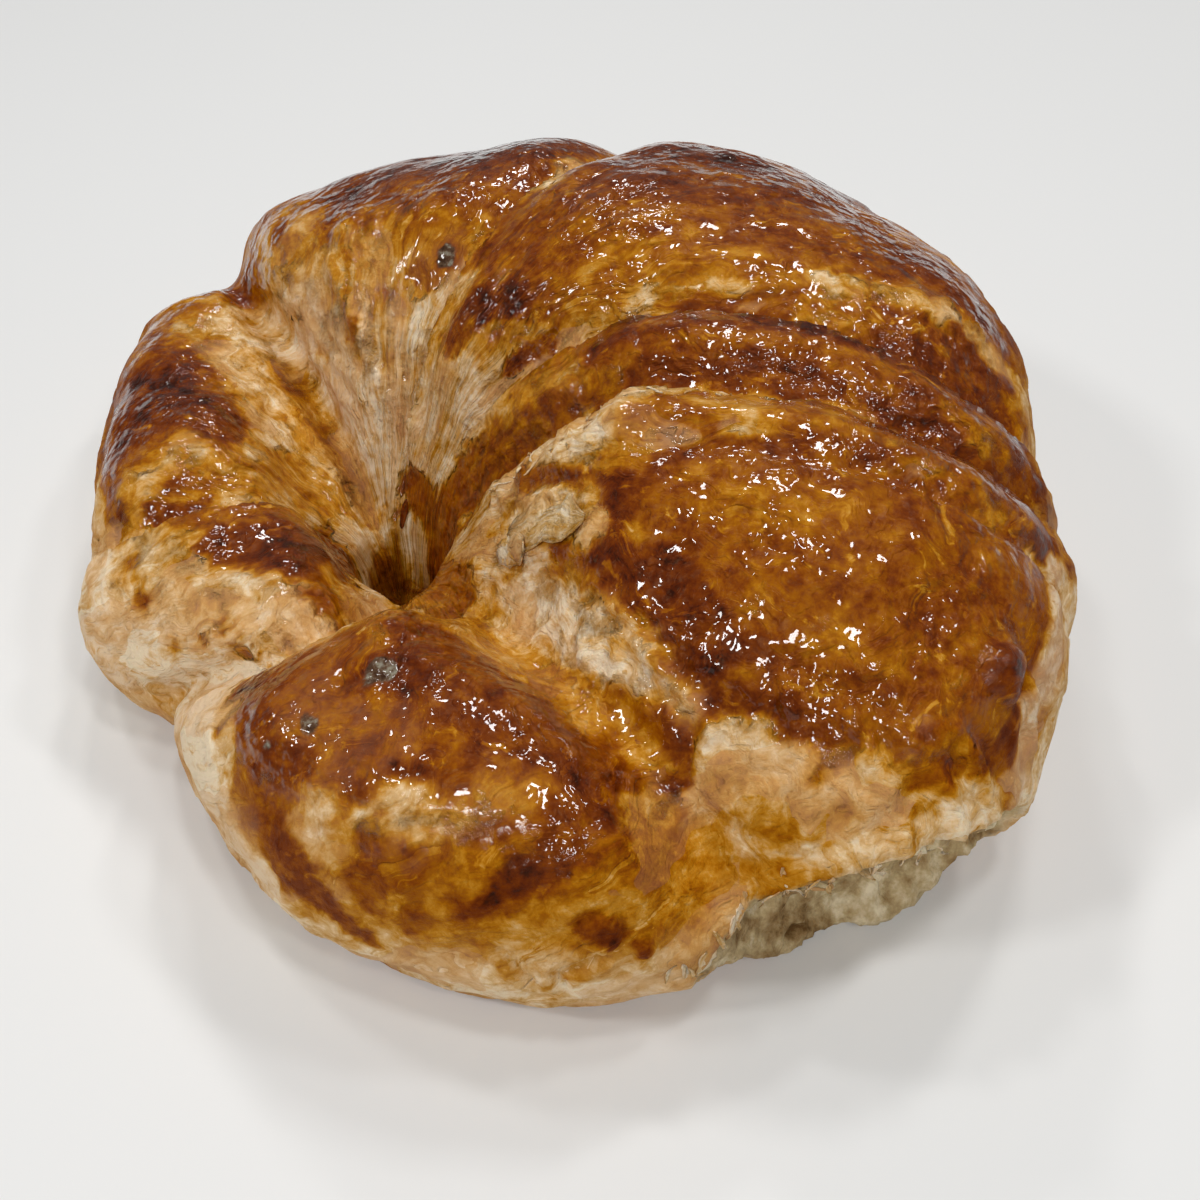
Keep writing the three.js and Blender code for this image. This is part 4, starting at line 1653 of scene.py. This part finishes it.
@dataclass
class LooseLeaves:
    """All the loose leaves and torn strings on the crust, as one thin mesh."""

    crust: bpy.types.Object
    thickness: float = 0.16
    placed: tuple[Leaf, ...] = (
        Leaf((1.5, -21.5, 37.0), (10.0, -8.0, 9.0), 16.0, 7.0, 0.7, Tint.TAN, 3),
        Leaf((-3.0, -21.0, 32.0), (5.0, -4.0, 5.0), 7.0, 3.6, 0.6, Tint.STRAW, 4),
        Leaf((-22.0, 4.6, 16.0), (2.0, 3.0, 6.0), 5.0, 1.1, 1.2, Tint.MAHOGANY, 6),
    )
    seam: Path = ((-6, -8, 30), (-2, -10, 35), (3, -12.5, 41), (8, -13, 46), (16, -11.5, 49), (26, -12, 50))
    lip: Path = ((14, -69, 13), (19, -67, 17), (25, -66, 20), (32, -64.5, 23), (40, -64, 24), (48, -60, 21))
    seed: int = 8

    def strings(self) -> list[Leaf]:
        """Fine torn strings along the open seam and under the torn lip.

        Returns:
            The strings, as narrow leaves.
        """
        chance = np.random.default_rng(self.seed)
        leaves = []
        sets = ((self.seam, 26, 0.3, 4.0, 0.0), (self.lip, 30, 0.6, 2.6, 1.0))
        for path, count, width, reach, droop in sets:
            for _ in range(count):
                share = chance.uniform(0, len(path) - 1.001)
                index = int(share)
                start, end = np.array(path[index : index + 2], float)
                place = start + (end - start) * (share - index)
                place = place + chance.normal(0, 0.8, 3)
                way = chance.normal(0, 1.0, 3) + ((0, 0, -1.6) if droop else (0.5, -0.6, 0.4))
                length = reach * chance.uniform(0.6, 1.6)
                tint = (Tint.CREAM, Tint.STRAW, Tint.STRAW)[chance.integers(3)]
                lift = chance.uniform(0.05, 0.6)
                seed = int(chance.integers(1000))
                leaves.append(Leaf(tuple(place), tuple(way), length, width, lift, tint, seed, droop))
        return leaves

    def add_leaf(self, work: bmesh.types.BMesh, leaf: Leaf, marks: dict) -> None:
        """Adds one leaf to the mesh being made.

        Args:
            work: the mesh being made.
            leaf: what to add.
            marks: for each value layer and the flow map, the layer to write to.
        """
        chance = np.random.default_rng(leaf.seed)
        made = bmesh.ops.create_grid(work, x_segments=9, y_segments=3, size=1.0)["verts"]
        centre, toward = Vector(leaf.centre), Vector(leaf.toward).normalized()
        _, _, normal, _ = self.crust.closest_point_on_mesh(centre * MM)
        side = normal.cross(toward).normalized()
        rows = {round(vert.co.x, 4) for vert in made}
        ragged = {row: chance.uniform(0.7, 1.15) for row in rows}
        bend = chance.uniform(-0.25, 0.25)
        for vert in made:
            u, v = vert.co.x, vert.co.y
            half = leaf.width / 2 * max(1.0 - abs(u) ** 2.6, 0.03) ** 0.5 * ragged[round(u, 4)]
            place = centre + toward * (u * leaf.length / 2) + side * (v * half + bend * leaf.width * u * u)
            _, seat, normal, _ = self.crust.closest_point_on_mesh(place * MM)
            raised = 0.05 + leaf.lift * ((u + 1) / 2) ** 2 + 0.15 * leaf.lift * v * v
            vert.co = seat + normal * raised * MM
            vert.co.z = max(vert.co.z - leaf.droop * MM * ((u + 1) / 2) ** 2, 0.3 * MM)
            for name, amount in zip(LAYER_NAMES, leaf.tint.value):
                vert[marks[name]] = amount
            for loop in vert.link_loops:
                loop[marks["flow"]].uv = (v * leaf.width * MM + leaf.seed * 0.013, u * leaf.length * MM)

    def build(self) -> bpy.types.Object:
        """Makes the leaves as one piece in the crust's own finish.

        Returns:
            The piece.
        """
        work = bmesh.new()
        marks = {name: work.verts.layers.float.new(name) for name in LAYER_NAMES}
        marks["flow"] = work.loops.layers.uv.new("flow")
        leaves = [*self.placed, *self.strings()]
        for leaf in leaves:
            self.add_leaf(work, leaf, marks)
        bmesh.ops.recalc_face_normals(work, faces=work.faces)
        mesh = bpy.data.meshes.new("crust_leaves")
        work.to_mesh(mesh)
        work.free()
        mesh.shade_smooth()
        mesh.materials.append(self.crust.data.materials[0])
        piece = bpy.data.objects.new("crust_leaves", mesh)
        bpy.context.scene.collection.objects.link(piece)
        solidify = piece.modifiers.new("thickness", "SOLIDIFY")
        solidify.thickness = self.thickness * MM
        solidify.offset = 0.0
        log.info("leaves: %d", len(leaves))
        return piece


@dataclass(frozen=True)
class SoftBox:
    """A square area light aimed at the croissant."""

    name: str
    azimuth: float
    elevation: float
    size: float
    power: float
    distance: float = 0.9

    def build(self, target: Vector) -> bpy.types.Object:
        """Makes the light; azimuth 0 is behind the camera and 90 is to the right, in degrees.

        Args:
            target: what the light is aimed at, in metres.

        Returns:
            The light.
        """
        light = bpy.data.lights.new(self.name, "AREA")
        light.shape = "SQUARE"
        light.size = self.size
        light.energy = self.power
        made = bpy.data.objects.new(self.name, light)
        bpy.context.scene.collection.objects.link(made)
        turn, rise = math.radians(self.azimuth), math.radians(self.elevation)
        away = Vector((math.sin(turn) * math.cos(rise), -math.cos(turn) * math.cos(rise), math.sin(rise)))
        made.location = target + away * self.distance
        made.rotation_euler = away.to_track_quat("Z", "Y").to_euler()
        return made


@dataclass(frozen=True)
class Studio:
    """The pale floor, soft lights, plain surroundings and camera."""

    floor_size: float = 3.0
    floor_colour: Triple = (0.8, 0.8, 0.79)
    floor_cloud: Texture = Texture(6.0, 3.0, 0.5)
    floor_dimming: float = 0.97
    floor_roughness: float = 0.7
    surroundings: float = 0.12
    aim: Triple = (0.0, 0.0, 0.025)
    lens: float = 41.07
    sensor: float = 36.0
    camera_place: Triple = (0.00735, -0.14848, 0.1525)
    look_down: float = 45.43
    roll: float = -0.84
    lights: tuple[SoftBox, ...] = (
        SoftBox("key_box", 155.0, 58.0, 0.115, 1.45),
        SoftBox("front_box", -15.0, 46.0, 0.135, 2.2),
        SoftBox("left_box", 292.0, 46.0, 0.1, 1.5),
        SoftBox("top_box", 60.0, 78.0, 0.09, 1.1),
        SoftBox("right_box", 105.0, 56.0, 0.085, 0.85),
        SoftBox("back_box", 187.0, 45.0, 0.085, 0.8),
        SoftBox("back_left_box", 222.0, 62.0, 0.09, 0.9),
        SoftBox("front_right_box", 40.0, 50.0, 0.08, 0.7),
    )

    def build_floor(self) -> bpy.types.Object:
        """Makes the floor that the croissant stands on.

        Returns:
            The floor.
        """
        work = bmesh.new()
        bmesh.ops.create_grid(work, x_segments=1, y_segments=1, size=self.floor_size / 2)
        mesh = bpy.data.meshes.new("floor")
        work.to_mesh(mesh)
        work.free()
        graph = Graph("pale_floor")
        solid = graph.add("ShaderNodeTexCoord").outputs["Object"]
        cloud = graph.noise(solid, *self.floor_cloud)
        dim = tuple(level * self.floor_dimming for level in self.floor_colour)
        colour = graph.mix(cloud, (*self.floor_colour, 1.0), (*dim, 1.0))
        inputs = {"Base Color": colour, "Roughness": self.floor_roughness}
        shader = graph.add("ShaderNodeBsdfPrincipled", None, inputs)
        mesh.materials.append(graph.finished(shader))
        floor = bpy.data.objects.new("floor", mesh)
        bpy.context.scene.collection.objects.link(floor)
        return floor

    def build_camera(self) -> bpy.types.Object:
        """Makes the camera and makes it the scene's own.

        Returns:
            The camera.
        """
        data = bpy.data.cameras.new("camera")
        data.lens = self.lens
        data.sensor_width = self.sensor
        data.clip_start = 0.01
        camera = bpy.data.objects.new("camera", data)
        bpy.context.scene.collection.objects.link(camera)
        tilt = Matrix.Rotation(math.radians(90.0 - self.look_down), 4, "X")
        roll = Matrix.Rotation(math.radians(self.roll), 4, "Z")
        camera.matrix_world = Matrix.Translation(self.camera_place) @ tilt @ roll
        bpy.context.scene.camera = camera
        return camera

    def build(self) -> None:
        """Makes the whole studio."""
        self.build_floor()
        for light in self.lights:
            light.build(Vector(self.aim))
        world = bpy.data.worlds.new("plain_room")
        world.use_nodes = True
        background = world.node_tree.nodes["Background"]
        background.inputs["Color"].default_value = (1.0, 1.0, 1.0, 1.0)
        background.inputs["Strength"].default_value = self.surroundings
        scene = bpy.context.scene
        scene.world = world
        scene.view_settings.view_transform = "Standard"
        self.build_camera()
        log.info("studio: %d lights", len(self.lights))


def main() -> None:
    """Builds the croissant and its studio in order."""
    logging.basicConfig(level=logging.INFO, format="%(name)s: %(message)s")
    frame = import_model()
    Studio().build()
    crust = CrustPiece(frame["nodes"][CAD_NODE].data).build()
    bpy.context.view_layer.update()
    leaves = LooseLeaves(crust).build()
    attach(leaves, "root")
    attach(crust, "root")
    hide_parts(CAD_NODE)


if __name__ == "__main__":
    main()
